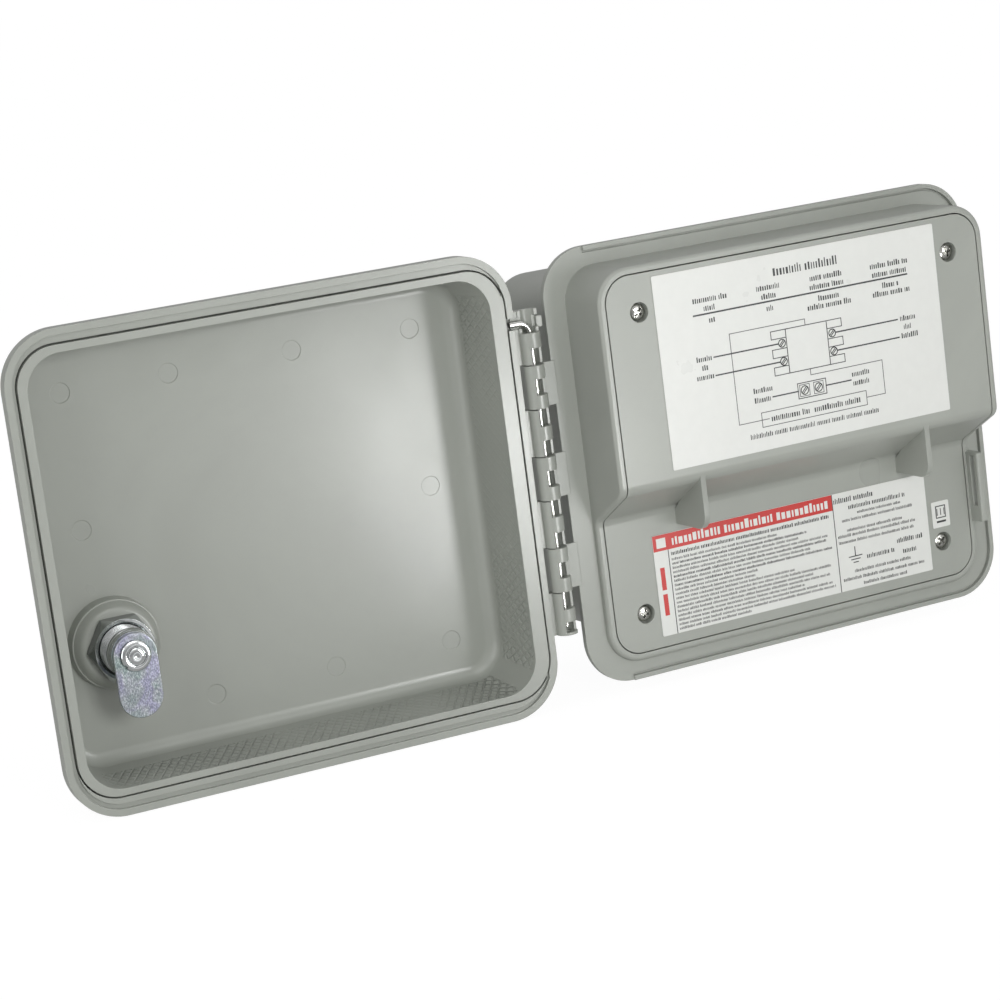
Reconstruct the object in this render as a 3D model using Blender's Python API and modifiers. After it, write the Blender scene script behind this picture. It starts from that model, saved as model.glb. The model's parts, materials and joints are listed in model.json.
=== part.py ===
"""Wall-mounted plastic relay enclosure with a hinged, locking door, modelled as an assembly of separate pieces.

X runs to the right seen from the front, +Y runs into the wall and +Z is up. The origin is the middle of the
back face, which lies on the wall. The door is modelled shut and then turned open about the hinge pin, which
is the pose at rest. Lengths below are in millimetres.
"""

import math

import bmesh
import bpy
from mathutils import Matrix, Vector

for old in list(bpy.data.objects):
    bpy.data.objects.remove(old, do_unlink=True)

MM = 0.001

# ---------------------------------------------------------------- driving dimensions
TUB_DEPTH = 70.0  # wall face to the face where door and box meet
MATE = -TUB_DEPTH  # the meeting face
WALL = 3.0

FLANGE_X, FLANGE_Z, FLANGE_R, FLANGE_T = 92.0, 82.2, 18.0, 4.2
LIP_W, LIP_GROOVE, TRAY_D = 1.7, 0.8, 1.0  # lip round the flange, and the floor behind it
TUB_X, TUB_Z, TUB_R = 82.0, 68.0, 16.0
WALL_HOLE_X, WALL_HOLE_Z = 69.0, 30.0
KNOCK_Y = -35.0
SHELF_Y = MATE + 1.2  # ledge behind the inner cover, where the opening narrows to the tub

NECK_X, NECK_Z, NECK_R = 83.4, 75.0, 13.0  # collar that holds the inner cover
NECK_GAP = 0.6  # round the inner cover
NECK_T = 2.7
HIGH, LOW = 24.75, 1.95  # how far the two levels of the collar and cover stand out
SLOPE_TOP_Z, SLOPE_END_Z = -6.9, -19.6

COVER_X, COVER_Z = NECK_X - NECK_T - NECK_GAP, NECK_Z - NECK_T - NECK_GAP
COVER_R = NECK_R - NECK_T - NECK_GAP
COVER_T = 2.8
SCREW_X, SCREW_TOP_Z, SCREW_LOW_Z = 67.2, 58.0, -57.7
RIB_X, RIB_T, RIB_END_Z = 48.9, 2.1, -26.4

AXIS_X, AXIS_Y = -99.9, MATE - 0.3  # hinge pin
OPEN_ANGLE = 182.46
BARREL_R, PIN_R, BORE_R = 3.9, 1.2, 1.5
KNUCKLES = (63.2, 54.9, 43.1, 26.7, 9.1, -7.4, -25.2, -42.0, -58.4)  # heights where the barrel changes sides
BARREL_GAP = 0.2

DOOR_GAP = 0.3
RIM = MATE - DOOR_GAP  # the door's rim face when it is shut
DOOR_HINGE_X, DOOR_FREE_X, DOOR_Z, DOOR_R = -94.5, 94.0, 86.4, 20.0
DOOR_FLANGE_T = 6.6
RECESS_D, RECESS_R, RECESS_DRAFT, RECESS_FILLET = 32.5, 13.0, 1.4, 5.0
RECESS_X, RECESS_Z = (-86.1, 86.4), (-76.8, 78.0)
DOOR_D = RECESS_D + 3.0
CHANNEL_X, CHANNEL_Z, CHANNEL_R, CHANNEL_D = (-91.9, 91.4), (-83.8, 83.8), 17.4, 1.2  # outer limits of the step
CHANNEL_IN_X, CHANNEL_IN_Z = (-91.0, 89.8), (-81.9, 81.2)  # its inner limits
GROOVE_X, GROOVE_Z, GROOVE_R, GROOVE_D = (-92.0, 90.1), (-79.7, 81.2), 15.0, 3.0
GROOVE_W = 0.9

LOCK_X, LOCK_Z = 62.0, -32.0
CAM_REACH, CAM_W, CAM_T = 22.5, 15.8, 1.8
CAM_BACK = 6.3  # how far inside the rim face the cam's far side lies
KEEPER_X0, KEEPER_X1, KEEPER_TOP, KEEPER_END, KEEPER_H = 81.6, 84.6, -24.5, -52.0, 9.3

LABEL_GAP, LABEL_T = 0.08, 0.22
CARRIAGE_TRAVEL = 3.0

# ---------------------------------------------------------------- materials
OBJECT = bpy.data.collections.new("relay_enclosure")
bpy.context.scene.collection.children.link(OBJECT)


def material(name, colour, roughness=0.5, metallic=0.0):
    made = bpy.data.materials.new(name)
    made.use_nodes = True
    shader = made.node_tree.nodes["Principled BSDF"]
    shader.inputs["Base Color"].default_value = (*colour, 1.0)
    shader.inputs["Roughness"].default_value = roughness
    shader.inputs["Metallic"].default_value = metallic
    made.diffuse_color = (*colour, 1.0)
    return made


FINISHES = {
    "grey": ((0.36, 0.38, 0.35), 0.45, 0.0),
    "label": ((0.85, 0.86, 0.83), 0.4, 0.0),
    "black": ((0.03, 0.03, 0.03), 0.6, 0.0),
    "rubber": ((0.05, 0.05, 0.05), 0.8, 0.0),
    "chrome": ((0.75, 0.76, 0.78), 0.12, 1.0),
    "zinc": ((0.55, 0.58, 0.66), 0.32, 1.0),
    "steel": ((0.60, 0.60, 0.60), 0.3, 1.0),
    "copper": ((0.72, 0.38, 0.2), 0.35, 1.0),
    "brass": ((0.72, 0.56, 0.26), 0.3, 1.0),
    "aluminium": ((0.72, 0.73, 0.74), 0.35, 1.0),
    "yellow": ((0.85, 0.62, 0.05), 0.5, 0.0),
    "amber": ((0.55, 0.33, 0.08), 0.4, 0.0),
}


# ---------------------------------------------------------------- shape helpers
def as_object(name, bm):
    """A new object in metres from a bmesh in millimetres."""
    bmesh.ops.scale(bm, vec=(MM, MM, MM), verts=bm.verts)
    bmesh.ops.recalc_face_normals(bm, faces=bm.faces)
    mesh = bpy.data.meshes.new(name)
    bm.to_mesh(mesh)
    bm.free()
    made = bpy.data.objects.new(name, mesh)
    OBJECT.objects.link(made)
    return made


def edges_at(bm, axis, value):
    """Edges that lie wholly in the plane where this coordinate has this value."""
    return [e for e in bm.edges if all(abs(v.co[axis] - value) < 1e-4 for v in e.verts)]


def bevel(bm, edges, width, segments):
    bmesh.ops.bevel(
        bm, geom=edges, offset=width, segments=segments, profile=0.5, affect="EDGES", clamp_overlap=True
    )


def block(name, x, y, z, corner=0.0, seg=6, front=0.0, back=0.0, soft=2, draft=0.0, axis=1):
    """A box between limits. Its edges along the axis are rounded by corner; front and back soften the end
    faces at the axis' low and high ends; draft pulls the low end's sides in."""
    bm = bmesh.new()
    bmesh.ops.create_cube(bm, size=1.0)
    low, high = Vector((x[0], y[0], z[0])), Vector((x[1], y[1], z[1]))
    bmesh.ops.scale(bm, vec=high - low, verts=bm.verts)
    bmesh.ops.translate(bm, vec=(low + high) / 2, verts=bm.verts)
    if corner:
        along = [e for e in bm.edges if abs(e.verts[0].co[axis] - e.verts[1].co[axis]) > 1e-4]
        bevel(bm, along, corner, seg)
    if draft:
        for vert in bm.verts:
            if abs(vert.co[axis] - low[axis]) < 1e-4:
                for other in range(3):
                    if other != axis:
                        middle, half = (low[other] + high[other]) / 2, (high[other] - low[other]) / 2
                        vert.co[other] = middle + (vert.co[other] - middle) * (half - draft) / half
    if front:
        bevel(bm, edges_at(bm, axis, low[axis]), front, soft)
    if back:
        bevel(bm, edges_at(bm, axis, high[axis]), back, soft)
    return as_object(name, bm)


TURN = {
    "X": Matrix.Rotation(math.pi / 2, 3, "Y"),
    "Y": Matrix.Rotation(-math.pi / 2, 3, "X"),
    "Z": Matrix.Identity(3),
}


def rod(name, centre, radius, ends, axis="Y", seg=24, radius2=None, chamfer=0.0, spin=0.0):
    """A cylinder or cone between two ends along an axis; centre gives the other two coordinates in order."""
    bm = bmesh.new()
    bmesh.ops.create_cone(
        bm,
        cap_ends=True,
        segments=seg,
        radius1=radius,
        radius2=radius if radius2 is None else radius2,
        depth=ends[1] - ends[0],
    )
    bmesh.ops.rotate(bm, matrix=Matrix.Rotation(spin, 3, "Z"), verts=bm.verts)
    if chamfer:
        half = (ends[1] - ends[0]) / 2
        bevel(bm, edges_at(bm, 2, -half) + edges_at(bm, 2, half), chamfer, 1)
    bmesh.ops.rotate(bm, matrix=TURN[axis], verts=bm.verts)
    middle = (ends[0] + ends[1]) / 2
    place = {
        "X": (middle, centre[0], centre[1]),
        "Y": (centre[0], middle, centre[1]),
        "Z": (centre[0], centre[1], middle),
    }[axis]
    bmesh.ops.translate(bm, vec=place, verts=bm.verts)
    return as_object(name, bm)


def turned(name, centre, profile, seg=24):
    """A profile of (radius, y) points turned about an axis along Y with a Screw modifier. A profile that
    starts and ends on the axis makes a solid piece, and any other is closed into a ring."""
    bm = bmesh.new()
    points = [bm.verts.new((radius, y, 0.0)) for radius, y in profile]
    onward = points[1:] if profile[0][0] == 0 else points[1:] + points[:1]
    for first, second in zip(points, onward):
        bm.edges.new((first, second))
    made = as_object(name, bm)
    screw = made.modifiers.new("turn", "SCREW")
    screw.axis = "Y"
    screw.angle = math.tau
    screw.steps = seg
    screw.render_steps = seg
    screw.use_merge_vertices = True
    screw.merge_threshold = 0.00001
    bake(made)
    made.data.transform(Matrix.Translation((centre[0] * MM, 0, centre[1] * MM)))
    weld(made)
    face_out(made)
    return made


def extruded(name, outline, span, axis="X"):
    """A flat outline extruded along an axis: (y, z) points along X, or (x, z) points along Y."""
    bm = bmesh.new()
    if axis == "X":
        face = bm.faces.new([bm.verts.new((span[0], a, b)) for a, b in outline])
        way = (span[1] - span[0], 0, 0)
    else:
        face = bm.faces.new([bm.verts.new((a, span[0], b)) for a, b in outline])
        way = (0, span[1] - span[0], 0)
    grown = bmesh.ops.extrude_face_region(bm, geom=[face])["geom"]
    moved = [g for g in grown if isinstance(g, bmesh.types.BMVert)]
    bmesh.ops.translate(bm, vec=way, verts=moved)
    return as_object(name, bm)


def swept(name, points, radius, closed=False, sides=2):
    """A round wire along points: a poly curve with a bevel, turned into a mesh."""
    curve = bpy.data.curves.new(name, "CURVE")
    curve.dimensions = "3D"
    curve.bevel_depth = radius * MM
    curve.bevel_resolution = sides
    curve.use_fill_caps = True
    spline = curve.splines.new("POLY")
    spline.points.add(len(points) - 1)
    for point, where in zip(spline.points, points):
        point.co = (*(value * MM for value in where), 1.0)
    spline.use_cyclic_u = closed
    guide = bpy.data.objects.new(name + "_path", curve)
    OBJECT.objects.link(guide)
    mesh = bpy.data.meshes.new_from_object(guide.evaluated_get(bpy.context.evaluated_depsgraph_get()))
    bpy.data.objects.remove(guide, do_unlink=True)
    made = bpy.data.objects.new(name, mesh)
    OBJECT.objects.link(made)
    weld(made)
    face_out(made)
    return made


def weld(obj, distance=0.002):
    bm = bmesh.new()
    bm.from_mesh(obj.data)
    bmesh.ops.remove_doubles(bm, verts=bm.verts, dist=distance * MM)
    bmesh.ops.dissolve_degenerate(bm, edges=bm.edges, dist=distance * MM)
    bm.to_mesh(obj.data)
    bm.free()


def face_out(obj):
    bm = bmesh.new()
    bm.from_mesh(obj.data)
    bmesh.ops.recalc_face_normals(bm, faces=bm.faces)
    bm.to_mesh(obj.data)
    bm.free()


def bake(obj):
    """Replaces the object's modifiers by the mesh they make."""
    bpy.context.view_layer.update()
    mesh = bpy.data.meshes.new_from_object(obj.evaluated_get(bpy.context.evaluated_depsgraph_get()))
    obj.modifiers.clear()
    obj.data = mesh


def combine(target, tools, operation):
    for tool in tools:
        step = target.modifiers.new("boolean", "BOOLEAN")
        step.operation = operation
        step.solver = "EXACT"
        step.object = tool
    bake(target)
    for tool in tools:
        bpy.data.objects.remove(tool, do_unlink=True)
    weld(target)
    return target


def join(target, *tools):
    return combine(target, tools, "UNION")


def cut(target, *tools):
    return combine(target, tools, "DIFFERENCE")


def common(target, *tools):
    return combine(target, tools, "INTERSECT")


def ring(name, x, z, radius, inner, outer, y):
    """A rounded rectangular ring: the outline x, z pulled in by outer and by inner, between two depths."""

    def outline(inset, depth, suffix):
        return block(
            name + suffix,
            (x[0] + inset, x[1] - inset),
            depth,
            (z[0] + inset, z[1] - inset),
            corner=max(radius - inset, 0.5),
        )

    return cut(outline(outer, y, ""), outline(inner, (y[0] - 2, y[1] + 2), "_hole"))


def arc(centre, radius, start, end, steps):
    return [
        (
            centre[0] + radius * math.cos(math.radians(start + (end - start) * i / steps)),
            centre[1] + radius * math.sin(math.radians(start + (end - start) * i / steps)),
        )
        for i in range(steps + 1)
    ]


def finish(obj, look, parent=None):
    """Gives a piece its material, smooth shading between sharp edges and, if it moves, its pivot."""
    colour, roughness, metallic = FINISHES[look]
    obj.data.materials.clear()
    obj.data.materials.append(material(obj.name + "_material", colour, roughness, metallic))
    for polygon in obj.data.polygons:
        polygon.use_smooth = True
        polygon.material_index = 0
    obj.data.set_sharp_from_angle(angle=math.radians(32))
    if parent is not None:
        obj.parent = parent
        obj.matrix_parent_inverse = REST_INVERSE[parent.name]
    return obj


# ---------------------------------------------------------------- pivots
REST_INVERSE = {}


def pivot(name, place, parent=None, turn=0.0):
    """An empty on a joint's axis. Pieces are modelled before its turn, and turn with it."""
    made = bpy.data.objects.new(name, None)
    made.empty_display_size = 0.01
    OBJECT.objects.link(made)
    made.location = [value * MM for value in place]
    made.rotation_euler = (0, 0, math.radians(turn))
    if parent is not None:
        made.parent = parent
        made.matrix_parent_inverse = REST_INVERSE[parent.name]
    REST_INVERSE[name] = Matrix.Translation(-made.location)
    return made


DOOR_PIVOT = pivot("door_pivot", (AXIS_X, AXIS_Y, 0), turn=-OPEN_ANGLE)
LOCK_PIVOT = pivot("lock_pivot", (LOCK_X, RIM - CAM_BACK, LOCK_Z), parent=DOOR_PIVOT)
CARRIAGE_PIVOT = pivot("carriage_pivot", (0, -55, 25))


# ---------------------------------------------------------------- shapes shared by collar and cover
def stepped_front(back_y, inset=0.0, end_z=NECK_Z):
    """(y, z) outline of the two-level front: high above, a slope, low below. inset moves the front inwards."""
    slope_angle = math.atan2(HIGH - LOW, SLOPE_TOP_Z - SLOPE_END_Z)
    shift = inset * math.tan(slope_angle / 2)
    high_y, low_y = MATE - HIGH + inset, MATE - LOW + inset
    top_z, foot_z = SLOPE_TOP_Z + shift, SLOPE_END_Z + shift

    def rounded(corner, before, after, radius, steps):
        a, b = (Vector(before) - Vector(corner)).normalized(), (Vector(after) - Vector(corner)).normalized()
        half = math.acos(max(-1.0, min(1.0, a.dot(b)))) / 2
        middle = Vector(corner) + (a + b).normalized() * radius / math.sin(half)
        start = Vector(corner) + a * radius / math.tan(half) - middle
        stop = Vector(corner) + b * radius / math.tan(half) - middle
        return [tuple(middle + start.slerp(stop, i / steps).normalized() * radius) for i in range(steps + 1)]

    top, crest, foot, low = (high_y, end_z), (high_y, top_z), (low_y, foot_z), (low_y, -end_z)
    return [
        (back_y, end_z),
        top,
        *rounded(crest, top, foot, 5.0 - inset, 5),
        *rounded(foot, crest, low, 4.0 + inset, 5),
        low,
        (back_y, -end_z),
    ]


# ---------------------------------------------------------------- box
def barrel(name, z, leaf):
    """One hinge knuckle with its leaf, bored for the pin."""
    low, high = z[0] + BARREL_GAP, z[1] - BARREL_GAP
    made = rod(name, (AXIS_X, AXIS_Y), BARREL_R, (low, high), axis="Z", seg=16)
    join(made, block(name + "_leaf", leaf[0], leaf[1], (low, high)))
    return cut(made, rod(name + "_bore", (AXIS_X, AXIS_Y), BORE_R, (low - 2, high + 2), axis="Z", seg=12))


def box_piece():
    tub = block(
        "base_box", (-TUB_X, TUB_X), (MATE + 1.6, 0), (-TUB_Z, TUB_Z), corner=TUB_R, back=3.5, soft=3, seg=7
    )
    flange = block(
        "flange",
        (-FLANGE_X, FLANGE_X),
        (MATE, MATE + FLANGE_T),
        (-FLANGE_Z, FLANGE_Z),
        corner=FLANGE_R,
        back=1.0,
        soft=1,
        seg=8,
    )
    neck = extruded("neck", stepped_front(MATE + 2, end_z=NECK_Z + 5), (-NECK_X - 5, NECK_X + 5))
    common(
        neck,
        block(
            "neck_round",
            (-NECK_X, NECK_X),
            (MATE - HIGH - 1, MATE + 3),
            (-NECK_Z, NECK_Z),
            corner=NECK_R,
            seg=7,
        ),
    )
    soften(neck, 1.5)
    join(tub, flange)
    floor = ring(
        "tray",
        (-FLANGE_X, FLANGE_X),
        (-FLANGE_Z, FLANGE_Z),
        FLANGE_R,
        16.0,
        LIP_W + LIP_GROOVE,
        (MATE - 2, MATE + TRAY_D),
    )
    groove = ring(
        "groove",
        (-FLANGE_X, FLANGE_X),
        (-FLANGE_Z, FLANGE_Z),
        FLANGE_R,
        LIP_W + LIP_GROOVE + 0.05,
        LIP_W,
        (MATE - 2, MATE + TRAY_D + 0.8),
    )
    lip_start = -FLANGE_X + FLANGE_R  # the lip leaves out the hinge side
    cut(groove, block("hinge_side", (-FLANGE_X - 5, lip_start), (MATE - 5, MATE + 5), (-90, 90)))
    level = block("hinge_level", (-FLANGE_X - 5, lip_start), (MATE - 2, MATE + TRAY_D), (-90, 90))
    cut(tub, floor, groove, level)
    join(tub, neck)
    opening_x, opening_z = NECK_X - NECK_T, NECK_Z - NECK_T
    cut(
        tub,
        block(
            "cavity",
            (-TUB_X + WALL, TUB_X - WALL),
            (SHELF_Y - 1.0, -WALL),
            (-TUB_Z + WALL, TUB_Z - WALL),
            corner=TUB_R - WALL,
        ),
        block(
            "opening",
            (-opening_x, opening_x),
            (MATE - HIGH - 5, SHELF_Y),
            (-opening_z, opening_z),
            corner=NECK_R - NECK_T,
        ),
    )
    # keeper that the lock's cam turns into
    keeper = block(
        "keeper",
        (KEEPER_X0, KEEPER_X1),
        (MATE - KEEPER_H, MATE + 2),
        (KEEPER_END, KEEPER_TOP),
        front=0.8,
        soft=2,
    )
    join(tub, keeper)
    # posts that take the cover screws
    posts = []
    for side in (-1, 1):
        for z, level in ((SCREW_TOP_Z, HIGH), (SCREW_LOW_Z, LOW)):
            top = MATE - level + 6.3
            posts.append(rod("post", (side * SCREW_X, z), 4.6, (top, -WALL + 1), seg=16, radius2=5.6))
    for side in (-1, 1):
        for z in (56.0, -49.0):
            posts.append(rod("stud", (side * 52.0, z), 4.2, (-7.9, -WALL + 1), seg=16))
    join(tub, *posts)
    bores = []
    for side in (-1, 1):
        for z, level in ((SCREW_TOP_Z, HIGH), (SCREW_LOW_Z, LOW)):
            top = MATE - level + 6.3
            bores.append(rod("bore", (side * SCREW_X, z), 1.7, (top - 1, top + 16), seg=12))
        for z in (56.0, -49.0):
            bores.append(rod("bore", (side * 52.0, z), 1.6, (-9, -3.6), seg=12))
    # openings in the back for wall screws: keyholes above, round holes below
    for x in (-WALL_HOLE_X, WALL_HOLE_X):
        bores.append(rod("keyhole", (x, WALL_HOLE_Z), 4.6, (-WALL - 1, 1), seg=20))
        bores.append(block("key_slot", (x - 2.4, x + 2.4), (-WALL - 1, 1), (WALL_HOLE_Z, WALL_HOLE_Z + 7), corner=1.0, seg=2))
        bores.append(rod("wall_hole", (x, -WALL_HOLE_Z), 2.7, (-WALL - 1, 1), seg=16))
    # thinned rings round the conduit knockouts, in the bottom wall
    for x in (-36.0, 36.0):
        disc = rod("knock", (x, KNOCK_Y), 14.2, (-TUB_Z - 1, -TUB_Z + 1.0), axis="Z", seg=28)
        cut(disc, rod("knock_core", (x, KNOCK_Y), 13.2, (-TUB_Z - 3, -TUB_Z + 3), axis="Z", seg=28))
        bores.append(disc)
    bores.append(
        block(
            "cam_slot",
            (KEEPER_X0 - 2, KEEPER_X1 + 2),
            (MATE - 7.1, MATE - 4.3),
            (-45.8, -25.6),
        )
    )
    cut(tub, *bores)
    # hinge knuckles on the box
    leaf = ((-97.6, -FLANGE_X + 1.0), (MATE + 0.5, MATE + 3.9))
    for low, high in ((KNUCKLES[3], KNUCKLES[2]), (KNUCKLES[5], KNUCKLES[4]), (KNUCKLES[7], KNUCKLES[6])):
        knuckle = barrel("knuckle", (low, high), leaf)
        middle = (low + high) / 2
        window = block(
            "window", (AXIS_X - 1.7, AXIS_X + 4.4), (MATE - 6, AXIS_Y + 0.1), (middle - 3.0, middle + 3.0)
        )
        cut(knuckle, window)
        join(tub, knuckle)
    return finish(tub, "grey")


def soften(obj, width):
    """Rounds the edges round the front of a stepped piece."""
    bm = bmesh.new()
    bm.from_mesh(obj.data)
    bmesh.ops.dissolve_limit(bm, angle_limit=math.radians(0.5), verts=bm.verts, edges=bm.edges)
    chosen = []
    for edge in bm.edges:
        if len(edge.link_faces) != 2:
            continue
        fronts = [face for face in edge.link_faces if face.normal.y < -0.2 and abs(face.normal.x) < 1e-3]
        sides = [face for face in edge.link_faces if abs(face.normal.y) < 1e-3]
        if len(fronts) == 1 and len(sides) == 1:
            chosen.append(edge)
    bmesh.ops.bevel(
        bm, geom=chosen, offset=width * MM, segments=2, profile=0.5, affect="EDGES", clamp_overlap=True
    )
    bm.to_mesh(obj.data)
    bm.free()
    weld(obj)


def cover_piece():
    front = stepped_front(MATE)
    back = stepped_front(MATE, inset=COVER_T)
    outline = front[1:-1] + back[1:-1][::-1]
    plate = extruded("inner_cover", outline, (-COVER_X - 5, COVER_X + 5))
    common(
        plate,
        block(
            "cover_round",
            (-COVER_X, COVER_X),
            (MATE - HIGH - 1, MATE + 8),
            (-COVER_Z, COVER_Z),
            corner=COVER_R,
            seg=6,
        ),
    )
    # two gusset webs across the slope
    webs = []
    for x in (-RIB_X - RIB_T + 1.0, RIB_X):
        front_y = MATE - HIGH + 0.3
        outline = [(front_y + 1.5, SLOPE_TOP_Z + 3.4), (front_y, SLOPE_TOP_Z + 1.4)]
        outline += arc((front_y + 6.0, RIB_END_Z + 6.0), 6.0, 180, 270, 5)
        outline += [(MATE - LOW + 1.3, RIB_END_Z), (MATE - LOW + 1.3, SLOPE_END_Z - 2.4)]
        webs.append(extruded("web", outline, (x, x + RIB_T)))
    bosses = []
    for side in (-1, 1):
        for z, level in ((SCREW_TOP_Z, HIGH), (SCREW_LOW_Z, LOW)):
            y = MATE - level
            bosses.append(rod("boss", (side * SCREW_X, z), 5.6, (y + 1.0, y + 6.0), seg=20))
    join(plate, *webs, *bosses)
    holes = []
    for side in (-1, 1):
        for z, level in ((SCREW_TOP_Z, HIGH), (SCREW_LOW_Z, LOW)):
            y = MATE - level
            holes.append(rod("sink", (side * SCREW_X, z), 3.7, (y - 1, y + 3.2), seg=24))
            holes.append(rod("clear", (side * SCREW_X, z), 1.9, (y + 2, y + 8), seg=12))
    cut(plate, *holes)
    return finish(plate, "grey")


def cross_screw(name, centre, seat, head_r, head_h, shank_r, length, look, parent=None):
    """A pan-head screw whose head rests on seat and stands towards -Y, with a cross recess."""
    profile = [(0.0, seat - head_h)]
    profile += [(head_r * 0.55, seat - head_h * 0.93), (head_r * 0.88, seat - head_h * 0.62)]
    profile += [(head_r, seat - head_h * 0.2), (head_r, seat), (shank_r, seat), (shank_r, seat + length - 1.0)]
    profile += [(shank_r * 0.35, seat + length), (0.0, seat + length)]
    made = turned(name, centre, profile, seg=14)
    deep, wide = head_h * 0.62, head_r * 0.17
    arms = []
    for turn in (0, 90):
        arm = block(
            "arm",
            (-head_r * 0.58, head_r * 0.58),
            (seat - head_h - 1, seat - head_h + deep),
            (-wide, wide),
        )
        arm.data.transform(Matrix.Rotation(math.radians(turn + 12), 4, "Y"))
        arm.data.transform(Matrix.Translation((centre[0] * MM, 0, centre[1] * MM)))
        arms.append(arm)
    cut(made, *arms)
    return finish(made, look, parent)


def cover_fittings():
    number = 0
    for z, level in ((SCREW_TOP_Z, HIGH), (SCREW_LOW_Z, LOW)):
        for side in (-1, 1):
            number += 1
            seat = MATE - level + 3.2 - 0.25
            cross_screw(f"cover_screw_{number}", (side * SCREW_X, z), seat, 3.2, 2.1, 1.35, 16.0, "steel")
    upper_y = MATE - HIGH - LABEL_GAP
    lower_y = MATE - LOW - LABEL_GAP
    finish(
        block("label_diagram", (-61.0, 61.1), (upper_y - LABEL_T, upper_y), (-1.6, 69.9), corner=0.6, seg=2),
        "label",
    )
    finish(
        block("label_rating", (-61.3, 61.0), (lower_y - LABEL_T, lower_y), (-67.9, -29.2), corner=0.6, seg=2),
        "label",
    )
    finish(
        block("label_symbol", (63.1, 71.2), (lower_y - LABEL_T, lower_y), (-51.9, -41.5), corner=0.4, seg=2),
        "label",
    )


# ---------------------------------------------------------------- relay inside the box
PLATE_Y = -9.8
RELAY_Z = 25.0
POLE_Z = (15.0, 35.0)
CONTACT_Y = -48.6  # top of the fixed contacts


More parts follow.
